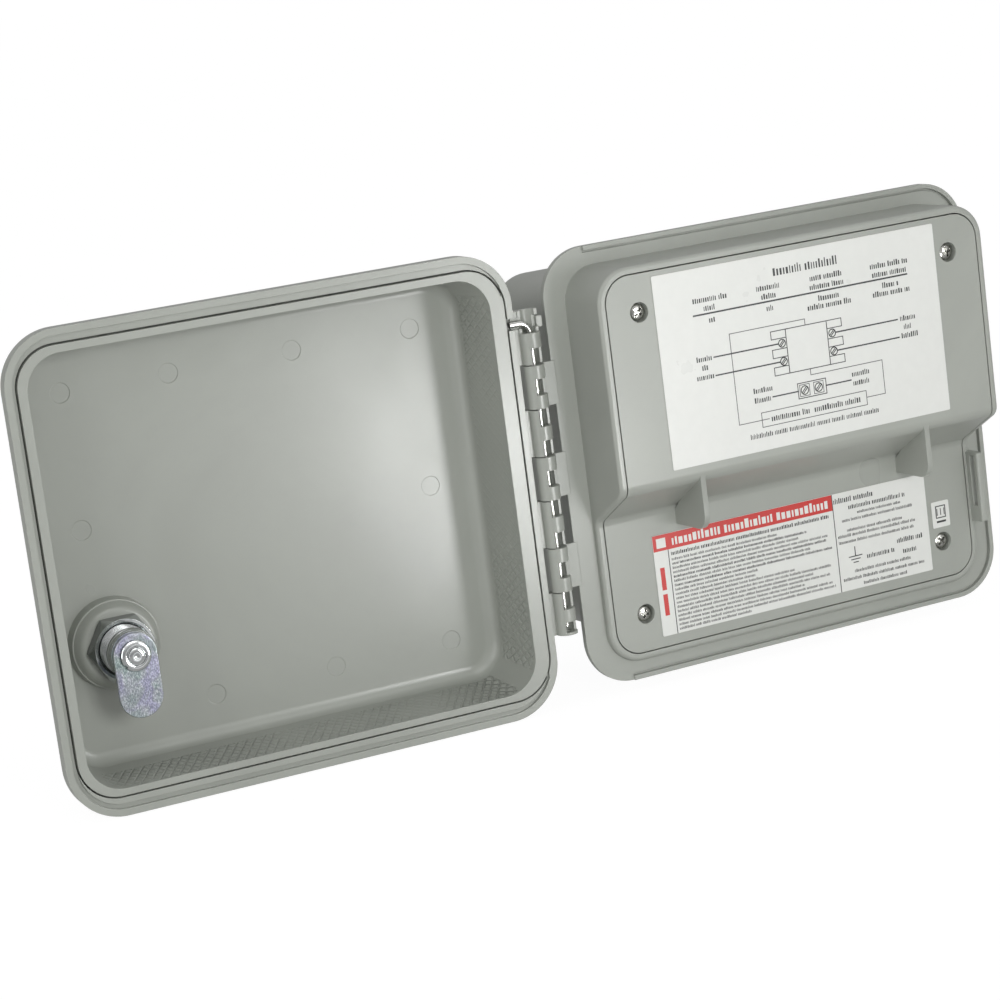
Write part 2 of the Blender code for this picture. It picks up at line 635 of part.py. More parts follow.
def inside_pieces():
    plate = block("mounting_plate", (-59, 59), (PLATE_Y, PLATE_Y + 1.6), (-56, 63), corner=3, seg=3)
    through = (PLATE_Y - 1, PLATE_Y + 3)
    holes = [rod("h", (s * 52.0, z), 2.0, through, seg=12) for s in (-1, 1) for z in (56.0, -49.0)]
    holes += [rod("h", (x, z), 1.9, through, seg=12) for x, z in ((-24, -4), (24, 54), (-10, -42), (10, -42))]
    cut(plate, *holes)
    finish(plate, "steel")
    number = 0
    for z in (56.0, -49.0):
        for side in (-1, 1):
            number += 1
            cross_screw(f"plate_screw_{number}", (side * 52.0, z), PLATE_Y - 0.25, 3.4, 1.9, 1.3, 5.3, "steel")

    base = block("relay_base", (-39, 39), (-22.0, PLATE_Y - 0.3), (-9, 59), corner=3, seg=3)
    towers = [block("t", (s * 28 - 11, s * 28 + 11), (-46.7, -21), (4, 46), corner=1, seg=1) for s in (-1, 1)]
    seats = [rod("s", (0, z), 4.6, (-40.0, -21), seg=16) for z in (-2.0, 52.0)]
    join(base, *towers, *seats)
    bores = [rod("b", (s * 33.0, z), 1.9, (-48, -34), seg=12) for s in (-1, 1) for z in POLE_Z]
    bores += [rod("b", (x, z), 1.9, (-24, -8), seg=12) for x, z in ((-24, -4), (24, 54))]
    cut(base, *bores)
    finish(base, "black")
    for index, (x, z) in enumerate(((-24, -4), (24, 54))):
        cross_screw(f"relay_screw_{index + 1}", (x, z), -22.25, 3.3, 1.9, 1.35, 14.5, "steel")

    core = block("iron_core", (-8, 8), (-27.6, -22.3), (3, 47))
    legs = [block("leg", (-8, 8), (-44.0, -26.5), z) for z in ((3, 9), (41, 47), (19.5, 30.5))]
    finish(join(core, *legs), "steel")

    bobbin = block("coil_bobbin", (-14.5, 14.5), (-42.6, -28.0), (11, 39), corner=1.5, seg=2)
    waist = ring("waist", (-16, 16), (9.5, 40.5), 2, 5.5, -2, (-40.6, -30.0))
    hole = block("hole", (-8.4, 8.4), (-50, -20), (19.1, 30.9))
    finish(cut(bobbin, waist, hole), "black")
    winding = ring("coil_winding", (-14.0, 14.0), (11.6, 38.4), 2.5, 3.2, 0, (-40.3, -30.3))
    finish(winding, "copper")

    number = 0
    for side in (-1, 1):
        for z in POLE_Z:
            number += 1
            strip = block(
                f"terminal_{number}",
                (min(side * 18, side * 38.5), max(side * 18, side * 38.5)),
                (CONTACT_Y + 0.6, CONTACT_Y + 1.6),
                (z - 4, z + 4),
                corner=0.8,
                seg=2,
            )
            join(strip, rod("tip", (side * 21.0, z), 2.6, (CONTACT_Y, CONTACT_Y + 1.0), seg=16))
            cut(strip, rod("h", (side * 33.0, z), 1.9, (CONTACT_Y - 2, CONTACT_Y + 4), seg=12))
            finish(strip, "brass")
            cross_screw(
                f"terminal_screw_{number}", (side * 33.0, z), CONTACT_Y + 0.3, 3.3, 2.2, 1.4, 12.0, "steel"
            )

    # carriage: armature, carrier and two bridging contacts, which move together towards the core
    finish(block("armature", (-8, 8), (-51.5, -47.2), (3, 47), front=0.5, soft=1), "steel", CARRIAGE_PIVOT)
    carrier = block("contact_carrier", (-22, 22), (-60.0, -53.5), (9, 41), corner=2, seg=2, front=1, soft=1)
    arms = [block("arm", (-6, 6), (-57.0, -53.5), z, corner=2, seg=2) for z in ((-7, 12), (38, 57))]
    pusher = block("pusher", (-5, 5), (-54.5, -51.8), (20, 30))
    finish(join(carrier, *arms, pusher), "black", CARRIAGE_PIVOT)
    for index, z in enumerate(POLE_Z):
        bridge = block(f"contact_bridge_{index + 1}", (-25, 25), (-53.2, -52.2), (z - 3, z + 3), corner=1, seg=2)
        tips = [rod("tip", (s * 21.0, z), 2.4, (-52.5, CONTACT_Y - 3.3), seg=16) for s in (-1, 1)]
        finish(join(bridge, *tips), "copper", CARRIAGE_PIVOT)
    for index, z in enumerate((-2.0, 52.0)):
        turns, low, high, count = 4, -40.9, -52.6, 40
        path = [
            (
                3.0 * math.cos(math.tau * turns * i / count),
                low + (high - low) * i / count,
                z + 3.0 * math.sin(math.tau * turns * i / count),
            )
            for i in range(count + 1)
        ]
        finish(swept(f"return_spring_{index + 1}", path, 0.45, sides=1), "steel")

    bar = block("ground_bar", (-17, 17), (-19.0, PLATE_Y - 0.3), (-47, -37), corner=1, seg=1)
    cut(bar, *[rod("h", (x, -42.0), 1.9, (-22, -6), seg=12) for x in (-10, 10)])
    finish(bar, "aluminium")
    for index, x in enumerate((-10, 10)):
        cross_screw(f"ground_screw_{index + 1}", (x, -42.0), -19.25, 3.4, 2.2, 1.4, 11.5, "brass")

    for index, side in enumerate((-1, 1)):
        path = [
            (side * 12.0, -35.2, 10.6),
            (side * 12.0, -36.0, 2.0),
            (side * 12.5, -38.0, -8.0),
            (side * 14.0, -39.0, -22.0),
            (side * 18.0, -37.5, -36.0),
            (side * 25.0, -34.5, -49.0),
            (side * 32.0, -32.0, -61.0),
        ]
        finish(swept(f"coil_lead_{index + 1}", smooth(path, 3), 1.2, sides=1), "yellow")


def smooth(points, steps):
    """Extra points between the given ones, on a Catmull-Rom curve through them."""
    known = [Vector(p) for p in points]
    padded = [known[0] * 2 - known[1], *known, known[-1] * 2 - known[-2]]
    path = []
    for a, b, c, d in zip(padded, padded[1:], padded[2:], padded[3:]):
        for i in range(steps):
            t = i / steps
            path.append(
                tuple(
                    0.5
                    * (
                        2 * b
                        + (c - a) * t
                        + (2 * a - 5 * b + 4 * c - d) * t * t
                        + (3 * b - a - 3 * c + d) * t * t * t
                    )
                )
            )
    return [*path, tuple(known[-1])]


# ---------------------------------------------------------------- door
def door_piece():
    x, z = (DOOR_HINGE_X, DOOR_FREE_X), (-DOOR_Z, DOOR_Z)
    door = block("door", x, (RIM - DOOR_FLANGE_T, RIM), z, corner=DOOR_R, front=1.2, soft=2, seg=9)
    pan = block(
        "pan",
        (x[0] + 4.6, x[1] - 4.6),
        (RIM - DOOR_D, RIM - 3.0),
        (z[0] + 4.6, z[1] - 4.6),
        corner=DOOR_R - 4.0,
        draft=2.0,
        front=4.5,
        soft=4,
        seg=8,
    )
    recess = block(
        "recess",
        RECESS_X,
        (RIM - RECESS_D, RIM + 4),
        RECESS_Z,
        corner=RECESS_R,
        draft=RECESS_DRAFT,
        front=RECESS_FILLET,
        soft=4,
        seg=8,
    )
    join(door, pan)
    cut(door, recess)
    # rings in the rim: a step that runs round three sides, and a narrow groove all round
    step = block("step", CHANNEL_X, (RIM - CHANNEL_D, RIM + 1), CHANNEL_Z, corner=CHANNEL_R)
    cut(
        step,
        block("step_in", CHANNEL_IN_X, (RIM - 5, RIM + 5), CHANNEL_IN_Z, corner=CHANNEL_R - 2.0),
        block("step_end", (-110, DOOR_HINGE_X + DOOR_R), (RIM - 5, RIM + 5), (-100, 100)),
    )
    groove = ring("groove", GROOVE_X, GROOVE_Z, GROOVE_R, GROOVE_W, 0, (RIM - GROOVE_D, RIM + 1))
    cut(door, step, groove)
    # boss that carries the lock
    floor = RIM - RECESS_D
    boss = turned(
        "boss",
        (LOCK_X, LOCK_Z),
        [
            (8.0, floor - 1),
            (16.7, floor - 1),
            (16.4, RIM - 27.7),
            (15.9, RIM - 27.6),
            (14.4, RIM - 24.4),
            (13.4, RIM - 23.6),
            (12.4, RIM - 23.4),
            (8.0, RIM - 23.4),
        ],
        seg=32,
    )
    join(door, boss)
    cuts = [rod("lock_hole", (LOCK_X, LOCK_Z), 9.5, (RIM - 60, RIM - 10), seg=32)]
    marks = [(x, z) for x in (-66.5, -20.0, 27.0) for z in (59.6, -59.2)] + [(67, 59.6), (67, 10), (-66.5, 0.3)]
    cuts += [rod("mark", mark, 3.5, (floor - 0.25, floor + 2), seg=20) for mark in marks]
    # notch that takes the bent end of the hinge pin
    cuts.append(block("pin_notch", (DOOR_HINGE_X - 1, DOOR_HINGE_X + 3.0), (RIM - 2.4, RIM + 2), (56.6, 60.9)))
    cut(door, *cuts)
    leaf = ((AXIS_X + 2.0, DOOR_HINGE_X + 1.0), (RIM - 4.2, RIM - 0.6))
    spans = ((54.9, 43.1), (26.7, 9.1), (-7.4, -25.2), (-42.0, -58.4))
    windows = ((43.1, 49.3), (20.3, 26.7), (9.1, 15.2), (-13.5, -7.4), (-25.2, -19.3), (-48.4, -42.0))
    windows += ((-57.2, -53.2),)
    knuckles = []
    for high, low in spans:
        knuckle = barrel("door_knuckle", (low, high), leaf)
        sight_x, sight_y = (AXIS_X - 4.4, AXIS_X + 1.7), (AXIS_Y - 0.1, AXIS_Y + 6)
        for foot, top in windows:
            if foot >= low and top <= high:
                reach = (foot - 0.5 * (foot == low), top + 0.5 * (top == high))
                cut(knuckle, block("sight", sight_x, sight_y, reach))
        knuckles.append(knuckle)
    # open trough above the top knuckle, where the pin bends over
    trough = rod("trough", (AXIS_X, AXIS_Y), BARREL_R, (54.0, 63.2), axis="Z", seg=20)
    cut(
        trough,
        rod("trough_bore", (AXIS_X, AXIS_Y), 2.7, (54.9, 70), axis="Z", seg=16),
        rod("trough_low", (AXIS_X, AXIS_Y), BORE_R, (50, 60), axis="Z", seg=16),
        block("trough_front", (AXIS_X - 6, AXIS_X + 6), (AXIS_Y, AXIS_Y + 6), (54.9, 70)),
    )
    join(trough, block("trough_leaf", leaf[0], leaf[1], (54.0, 63.2)))
    cut(
        trough,
        rod("trough_bore", (AXIS_X, AXIS_Y), 2.7, (54.9, 70), axis="Z", seg=16),
        block("trough_front", (AXIS_X - 6, AXIS_X + 12), (AXIS_Y - 1.6, AXIS_Y + 6), (56.6, 60.9)),
    )
    join(trough, block("tab", (AXIS_X - 5.6, AXIS_X - 3.4), (AXIS_Y - 2.2, AXIS_Y - 0.2), (56.3, 60.2)))
    join(door, *knuckles, trough)
    return finish(door, "grey", DOOR_PIVOT)


def door_fittings():
    gasket_y = (RIM - GROOVE_D + 0.25, RIM - 1.1)
    gasket = ring("door_gasket", GROOVE_X, GROOVE_Z, GROOVE_R, GROOVE_W - 0.2, 0.2, gasket_y)
    finish(gasket, "rubber", DOOR_PIVOT)
    turns = [math.pi / 2 * i / 6 for i in range(7)]
    bend = [(AXIS_X + 4.0 - 4.0 * math.cos(a), AXIS_Y, 54.6 + 4.0 * math.sin(a)) for a in turns]
    path = [(AXIS_X, AXIS_Y, -55.4), *bend, (DOOR_HINGE_X + 2.2, AXIS_Y, 58.6)]
    finish(swept("hinge_pin", path, PIN_R, sides=3), "steel", DOOR_PIVOT)


# ---------------------------------------------------------------- lock
def lock_pieces():
    centre = (LOCK_X, LOCK_Z)
    outside = RIM - DOOR_D - 0.3
    end = RIM - 8.4
    profile = [(6.3, outside - 2.6), (10.2, outside - 2.6), (11.8, outside - 1.2), (11.8, outside), (9.0, outside)]
    y = RIM - 24.0
    profile.append((9.0, y))
    while y + 2.2 < end - 0.8:
        profile += [(9.0, y + 0.5), (8.4, y + 1.1), (9.0, y + 1.7)]
        y += 2.2
    profile += [(9.0, end - 0.5), (8.5, end), (6.3, end)]
    finish(turned("lock_body", centre, profile, seg=24), "chrome", DOOR_PIVOT)

    nut = rod("lock_nut", centre, 22.0 / math.sqrt(3), (RIM - 23.1, RIM - 16.9), seg=6, spin=math.pi / 6)
    crown = rod("crown", centre, 14.8, (RIM - 24.0, RIM - 14.2), seg=32, radius2=9.5)
    common(nut, crown)
    cut(nut, rod("nut_bore", centre, 9.35, (RIM - 30, RIM - 5), seg=32))
    finish(nut, "chrome", DOOR_PIVOT)

    plug = rod("lock_plug", centre, 5.9, (outside - 2.9, RIM - 8.7), seg=24)
    join(plug, rod("stem", centre, 3.4, (RIM - 10, RIM - CAM_BACK + 1.5), seg=16))
    cut(
        plug,
        block("keyway", (LOCK_X - 0.9, LOCK_X + 0.9), (outside - 5, outside + 14), (LOCK_Z - 4.0, LOCK_Z + 4.0)),
        rod("plug_bore", centre, 1.8, (RIM - 18, RIM), seg=12),
    )
    finish(plug, "zinc", LOCK_PIVOT)

    washer = rod("lock_washer", centre, 8.9, (RIM - 8.1, RIM - CAM_BACK - 0.25), seg=28, chamfer=0.3)
    cut(washer, rod("washer_hole", centre, 3.7, (RIM - 12, RIM), seg=16))
    finish(washer, "chrome", LOCK_PIVOT)

    cam_y = (RIM - CAM_BACK, RIM - CAM_BACK + CAM_T)
    half = CAM_W / 2
    outline = arc(centre, half, 0, 180, 14) + arc((LOCK_X, LOCK_Z - CAM_REACH + half), half, 180, 360, 14)
    cam = extruded("lock_cam", outline, cam_y, axis="Y")
    soften_plate(cam, 0.3)
    cut(cam, rod("cam_hole", centre, 3.7, (RIM - 12, RIM), seg=16))
    finish(cam, "zinc", LOCK_PIVOT)

    seat = cam_y[1] + 0.2
    profile = [(1.4, seat - 8.0), (1.4, seat), (5.6, seat), (5.6, seat + 0.3), (5.0, seat + 1.15)]
    profile += [(3.9, seat + 1.5), (2.7, seat + 1.62), (2.4, seat + 1.1), (0.9, seat + 1.1), (0.9, seat - 8.0)]
    finish(turned("cam_screw", centre, profile, seg=20), "chrome", LOCK_PIVOT)


def soften_plate(obj, width):
    """Breaks the edges round both faces of a flat plate."""
    bm = bmesh.new()
    bm.from_mesh(obj.data)
    bmesh.ops.dissolve_limit(bm, angle_limit=math.radians(0.5), verts=bm.verts, edges=bm.edges)
    chosen = [e for e in bm.edges if len(e.link_faces) == 2 and e.calc_face_angle(0) > math.radians(60)]
    bmesh.ops.bevel(bm, geom=chosen, offset=width * MM, segments=1, affect="EDGES", clamp_overlap=True)
    bm.to_mesh(obj.data)
    bm.free()
    weld(obj)


box_piece()
cover_piece()
cover_fittings()
inside_pieces()
door_piece()
door_fittings()
lock_pieces()
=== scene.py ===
"""Looks of the relay enclosure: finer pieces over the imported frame, procedural finishes, light and camera.

Lengths are in millimetres until a mesh is made. X runs right, +Y runs into the wall, +Z is up.
The door and its lock are shaped shut and then turned open about the hinge pin.
"""

import json
import math
import random

import bmesh
import bpy
from mathutils import Matrix, Vector


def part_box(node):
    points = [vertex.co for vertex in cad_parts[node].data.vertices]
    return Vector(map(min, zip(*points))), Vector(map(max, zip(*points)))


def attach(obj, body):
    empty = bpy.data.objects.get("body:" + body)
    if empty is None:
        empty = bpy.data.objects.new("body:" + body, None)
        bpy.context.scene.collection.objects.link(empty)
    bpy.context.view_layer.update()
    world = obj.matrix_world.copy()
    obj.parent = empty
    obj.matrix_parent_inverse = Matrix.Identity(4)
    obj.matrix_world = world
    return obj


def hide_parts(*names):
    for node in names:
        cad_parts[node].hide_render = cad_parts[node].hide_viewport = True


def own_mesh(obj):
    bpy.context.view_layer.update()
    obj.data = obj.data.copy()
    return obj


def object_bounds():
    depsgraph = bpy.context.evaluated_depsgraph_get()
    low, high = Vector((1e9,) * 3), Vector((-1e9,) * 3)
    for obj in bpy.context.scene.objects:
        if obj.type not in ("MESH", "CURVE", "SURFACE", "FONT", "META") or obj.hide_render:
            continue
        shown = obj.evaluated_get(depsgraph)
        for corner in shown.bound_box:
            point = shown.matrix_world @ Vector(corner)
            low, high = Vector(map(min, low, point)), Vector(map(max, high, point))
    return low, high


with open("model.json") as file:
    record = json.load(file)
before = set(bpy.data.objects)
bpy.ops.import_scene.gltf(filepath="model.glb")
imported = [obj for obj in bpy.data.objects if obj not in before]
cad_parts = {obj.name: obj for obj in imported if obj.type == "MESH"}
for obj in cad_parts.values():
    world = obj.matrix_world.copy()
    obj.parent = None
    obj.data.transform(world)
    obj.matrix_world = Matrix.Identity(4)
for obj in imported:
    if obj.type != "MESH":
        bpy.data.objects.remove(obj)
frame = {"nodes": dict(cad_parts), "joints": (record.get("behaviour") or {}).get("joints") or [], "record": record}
cad_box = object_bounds()
NODES = frame["nodes"]
JOINTS = {joint["name"]: joint for joint in frame["joints"]}
MM = 0.001
random.seed(7)

# ---------------------------------------------------------------- places read from the frame
HINGE = JOINTS["door_hinge"]
AXIS = AXIS_X, AXIS_Y = tuple(value / MM for value in HINGE["pos_m"][:2])
OPEN_ANGLE = HINGE["range_deg"][1]
OPEN = (
    Matrix.Translation((AXIS_X * MM, AXIS_Y * MM, 0))
    @ Matrix.Rotation(math.radians(-OPEN_ANGLE), 4, "Z")
    @ Matrix.Translation((-AXIS_X * MM, -AXIS_Y * MM, 0))
)
RIM = AXIS_Y
MATE = RIM + 0.3


def node_box(name):
    low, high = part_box(name)
    return low / MM, high / MM


# ---------------------------------------------------------------- dimensions of the visible pieces
# box: wall flange, tub, holes in its walls, posts and studs inside it, keeper for the lock cam
FLANGE_X, FLANGE_Z, FLANGE_R, FLANGE_T = 92.0, 82.2, 18.0, 4.2
LIP_W, LIP_GROOVE, TRAY_W, TRAY_D = 1.7, 0.8, 16.0, 1.0
TUB_X, TUB_Z, TUB_R, WALL = 82.0, 68.0, 16.0, 3.0
WALL_HOLE_X, WALL_HOLE_Z, WALL_HOLE_R, KEYHOLE_R = 69.0, 30.0, 2.7, 4.6
KNOCK_X, KNOCK_Y, KNOCK_R = 36.0, -35.0, 13.2
POST_R, POST_BORE_R, STUD_R, STUD_BORE_R = 4.6, 1.7, 4.2, 1.6
STUD_X, STUD_Z = 52.0, (56.0, -49.0)
KEEPER_X0, KEEPER_X1, KEEPER_TOP, KEEPER_END, KEEPER_H = 81.6, 84.6, -24.5, -52.0, 9.3
# neck of the box and the stepped inner cover that lies in it
SHELF_Y = MATE + 1.2
NECK_X, NECK_Z, NECK_R, NECK_GAP, NECK_T = 83.4, 75.0, 13.0, 0.45, 2.7
HIGH, LOW = 24.75, 1.95
SLOPE_TOP_Z, SLOPE_END_Z = -6.9, -19.6
COVER_X, COVER_Z = NECK_X - NECK_T - NECK_GAP, NECK_Z - NECK_T - NECK_GAP
COVER_R, COVER_T = NECK_R - NECK_T - NECK_GAP, 2.8
SCREW_X, SCREW_TOP_Z, SCREW_LOW_Z, SINK_D = 67.2, 58.0, -57.7, 3.2
RIB_X, RIB_T, RIB_END_Z = 48.9, 2.1, -26.4
# hinge
BARREL_R, PIN_R, BORE_R, HOLLOW_R, CRADLE_R, BARREL_GAP = 3.9, 1.2, 1.5, 2.9, 2.7, 0.2
KNUCKLES = (63.2, 54.9, 43.1, 26.7, 9.1, -7.4, -25.2, -42.0, -58.4)
NOTCH_Z = (56.6, 60.9)
# door: flange, pan with its recess, the step and groove round the rim, moulding marks on the panel
DOOR_HINGE_X, DOOR_FREE_X, DOOR_Z, DOOR_R = -94.5, 94.0, 86.4, 20.0
DOOR_FLANGE_T, PAN_IN = 6.6, 4.6
RECESS_D, RECESS_R, RECESS_DRAFT, RECESS_FILLET = 32.5, 13.0, 1.4, 5.0
RECESS_X, RECESS_Z = (-86.1, 86.4), (-76.8, 78.0)
DOOR_D = RECESS_D + 3.0
CHANNEL_X, CHANNEL_Z, CHANNEL_R, CHANNEL_D = (-91.9, 91.4), (-83.8, 83.8), 17.4, 1.2
CHANNEL_IN_X, CHANNEL_IN_Z = (-91.0, 89.8), (-81.9, 81.2)
GROOVE_X, GROOVE_Z, GROOVE_R, GROOVE_D, GROOVE_W = (-92.0, 90.1), (-79.7, 81.2), 15.0, 3.0, 0.62
MARK_R, MARK_D, MARK_X, MARK_Z = 3.6, 0.22, (-66.5, -20.0, 27.0), (59.6, -59.2)
# lock
LOCK = LOCK_X, LOCK_Z = 62.0, -32.0
LOCK_R, NUT_FLATS, STEM_R = 9.0, 22.0, 3.4
CAM_REACH, CAM_W, CAM_T, CAM_BACK = 22.5, 15.8, 1.8, 6.3
# how close two lengths are taken as equal
NEAR = 1e-4


# ---------------------------------------------------------------- shape helpers
def both(reach):
    return -reach, reach


def placed(name, data):
    made = bpy.data.objects.new(name, data)
    bpy.context.scene.collection.objects.link(made)
    return made


def modify(obj, kind, **settings):
    modifier = obj.modifiers.new(kind.lower(), kind)
    for key, value in settings.items():
        setattr(modifier, key, value)


def about(centre, degrees=0):
    """A turn about Y, then a move to a place in the XZ plane."""
    turn = Matrix.Rotation(math.radians(degrees), 4, "Y")
    return Matrix.Translation((centre[0] * MM, 0, centre[1] * MM)) @ turn


def as_object(name, bm):
    bmesh.ops.scale(bm, vec=(MM, MM, MM), verts=bm.verts)
    bmesh.ops.recalc_face_normals(bm, faces=bm.faces)
    mesh = bpy.data.meshes.new(name)
    bm.to_mesh(mesh)
    bm.free()
    return placed(name, mesh)


def bevel(bm, edges, width, segments):
    bmesh.ops.bevel(
        bm, geom=edges, offset=width, segments=segments, profile=0.5, affect="EDGES", clamp_overlap=True
    )


def block(name, x, y, z, corner=0.0, seg=10, front=0.0, back=0.0, soft=3, draft=0.0):
    """A box between limits, with its edges along Y rounded, its front drafted and its ends softened."""
    bm = bmesh.new()
    bmesh.ops.create_cube(bm, size=1.0)
    low, high = Vector((x[0], y[0], z[0])), Vector((x[1], y[1], z[1]))
    middle, half = (low + high) / 2, (high - low) / 2
    bmesh.ops.scale(bm, vec=high - low, verts=bm.verts)
    bmesh.ops.translate(bm, vec=middle, verts=bm.verts)
    if corner:
        bevel(bm, [e for e in bm.edges if abs(e.verts[0].co.y - e.verts[1].co.y) > NEAR], corner, seg)
    if draft:
        for vert in bm.verts:
            if abs(vert.co.y - low.y) < NEAR:
                for i in (0, 2):
                    vert.co[i] = middle[i] + (vert.co[i] - middle[i]) * (half[i] - draft) / half[i]
    for end, width in ((low.y, front), (high.y, back)):
        if width:
            bevel(bm, [e for e in bm.edges if all(abs(v.co.y - end) < NEAR for v in e.verts)], width, soft)
    return as_object(name, bm)


TURN = {"Y": Matrix.Rotation(-math.pi / 2, 3, "X"), "Z": Matrix.Identity(3)}


def rod(name, centre, radius, ends, axis="Y", seg=48, radius2=None, spin=0.0):
    bm = bmesh.new()
    tip = radius if radius2 is None else radius2
    depth, middle = ends[1] - ends[0], (ends[0] + ends[1]) / 2
    bmesh.ops.create_cone(bm, cap_ends=True, segments=seg, radius1=radius, radius2=tip, depth=depth)
    bmesh.ops.rotate(bm, matrix=TURN[axis] @ Matrix.Rotation(spin, 3, "Z"), verts=bm.verts)
    place = (centre[0], middle, centre[1]) if axis == "Y" else (*centre, middle)
    bmesh.ops.translate(bm, vec=place, verts=bm.verts)
    return as_object(name, bm)


def hinge_rod(name, radius, z, seg=32):
    return rod(name, AXIS, radius, z, axis="Z", seg=seg)


def turned(name, centre, profile, seg=48):
    """(radius, y) points turned about an axis along Y: solid if they start and end on it, else a ring."""
    bm = bmesh.new()
    points = [bm.verts.new((radius, y, 0.0)) for radius, y in profile]
    onward = points[1:] if profile[0][0] == 0 else points[1:] + points[:1]
    for first, second in zip(points, onward):
        bm.edges.new((first, second))
    made = as_object(name, bm)
    modify(made, "SCREW", axis="Y", angle=math.tau, steps=seg, render_steps=seg, use_merge_vertices=True)
    made.modifiers[0].merge_threshold = 0.00001
    bake(made)
    made.data.transform(about(centre))
    return face_out(weld(made))


def extruded(name, outline, span, axis="X"):
    start, length = span[0], span[1] - span[0]
    bm = bmesh.new()
    if axis == "X":
        points, way = [(start, a, b) for a, b in outline], (length, 0, 0)
    else:
        points, way = [(a, start, b) for a, b in outline], (0, length, 0)
    face = bm.faces.new([bm.verts.new(point) for point in points])
    grown = bmesh.ops.extrude_face_region(bm, geom=[face])["geom"]
    moved = [g for g in grown if isinstance(g, bmesh.types.BMVert)]
    bmesh.ops.translate(bm, vec=way, verts=moved)
    return as_object(name, bm)


def swept(name, points, radius, sides):
    curve = bpy.data.curves.new(name, "CURVE")
    curve.dimensions = "3D"
    curve.bevel_depth = radius * MM
    curve.bevel_resolution = sides
    curve.use_fill_caps = True
    spline = curve.splines.new("POLY")
    spline.points.add(len(points) - 1)
    for point, where in zip(spline.points, points):
        point.co = (*(value * MM for value in where), 1.0)
    guide = placed(name + "_path", curve)
    mesh = shown_mesh(guide)
    bpy.data.objects.remove(guide, do_unlink=True)
    return face_out(weld(placed(name, mesh)))


def edited(obj, change):
    bm = bmesh.new()
    bm.from_mesh(obj.data)
    change(bm)
    bm.to_mesh(obj.data)
    bm.free()
    return obj


def weld(obj):
    gap = 0.002 * MM

    def change(bm):
        bmesh.ops.remove_doubles(bm, verts=bm.verts, dist=gap)
        bmesh.ops.dissolve_degenerate(bm, edges=bm.edges, dist=gap)

    return edited(obj, change)


def face_out(obj):
    return edited(obj, lambda bm: bmesh.ops.recalc_face_normals(bm, faces=bm.faces))


def shown_mesh(obj):
    bpy.context.view_layer.update()
    return bpy.data.meshes.new_from_object(obj.evaluated_get(bpy.context.evaluated_depsgraph_get()))


def bake(obj):
    mesh = shown_mesh(obj)
    obj.modifiers.clear()
    obj.data = mesh


def combine(target, tools, operation):
    for tool in tools:
        modify(target, "BOOLEAN", operation=operation, solver="EXACT", object=tool)
    bake(target)
    for tool in tools:
        bpy.data.objects.remove(tool, do_unlink=True)
    return weld(target)


def join(target, *tools):
    return combine(target, tools, "UNION")


def cut(target, *tools):
    return combine(target, tools, "DIFFERENCE")


def common(target, *tools):
    return combine(target, tools, "INTERSECT")


def ring(name, x, z, radius, inner, outer, y, seg):
    """A rounded frame between two insets from one outline."""

    def outline(inset, depth):
        limits = (x[0] + inset, x[1] - inset), depth, (z[0] + inset, z[1] - inset)
        return block(name, *limits, corner=max(radius - inset, 0.5), seg=seg)

    return cut(outline(outer, y), outline(inner, (y[0] - 2, y[1] + 2)))


def arc(centre, radius, start, end, steps):
    angles = [math.radians(start + (end - start) * i / steps) for i in range(steps + 1)]
    return [(centre[0] + radius * math.cos(a), centre[1] + radius * math.sin(a)) for a in angles]


# ---------------------------------------------------------------- finishes
def shade(colour, share):
    return tuple(min(1.0, part * share) for part in colour)


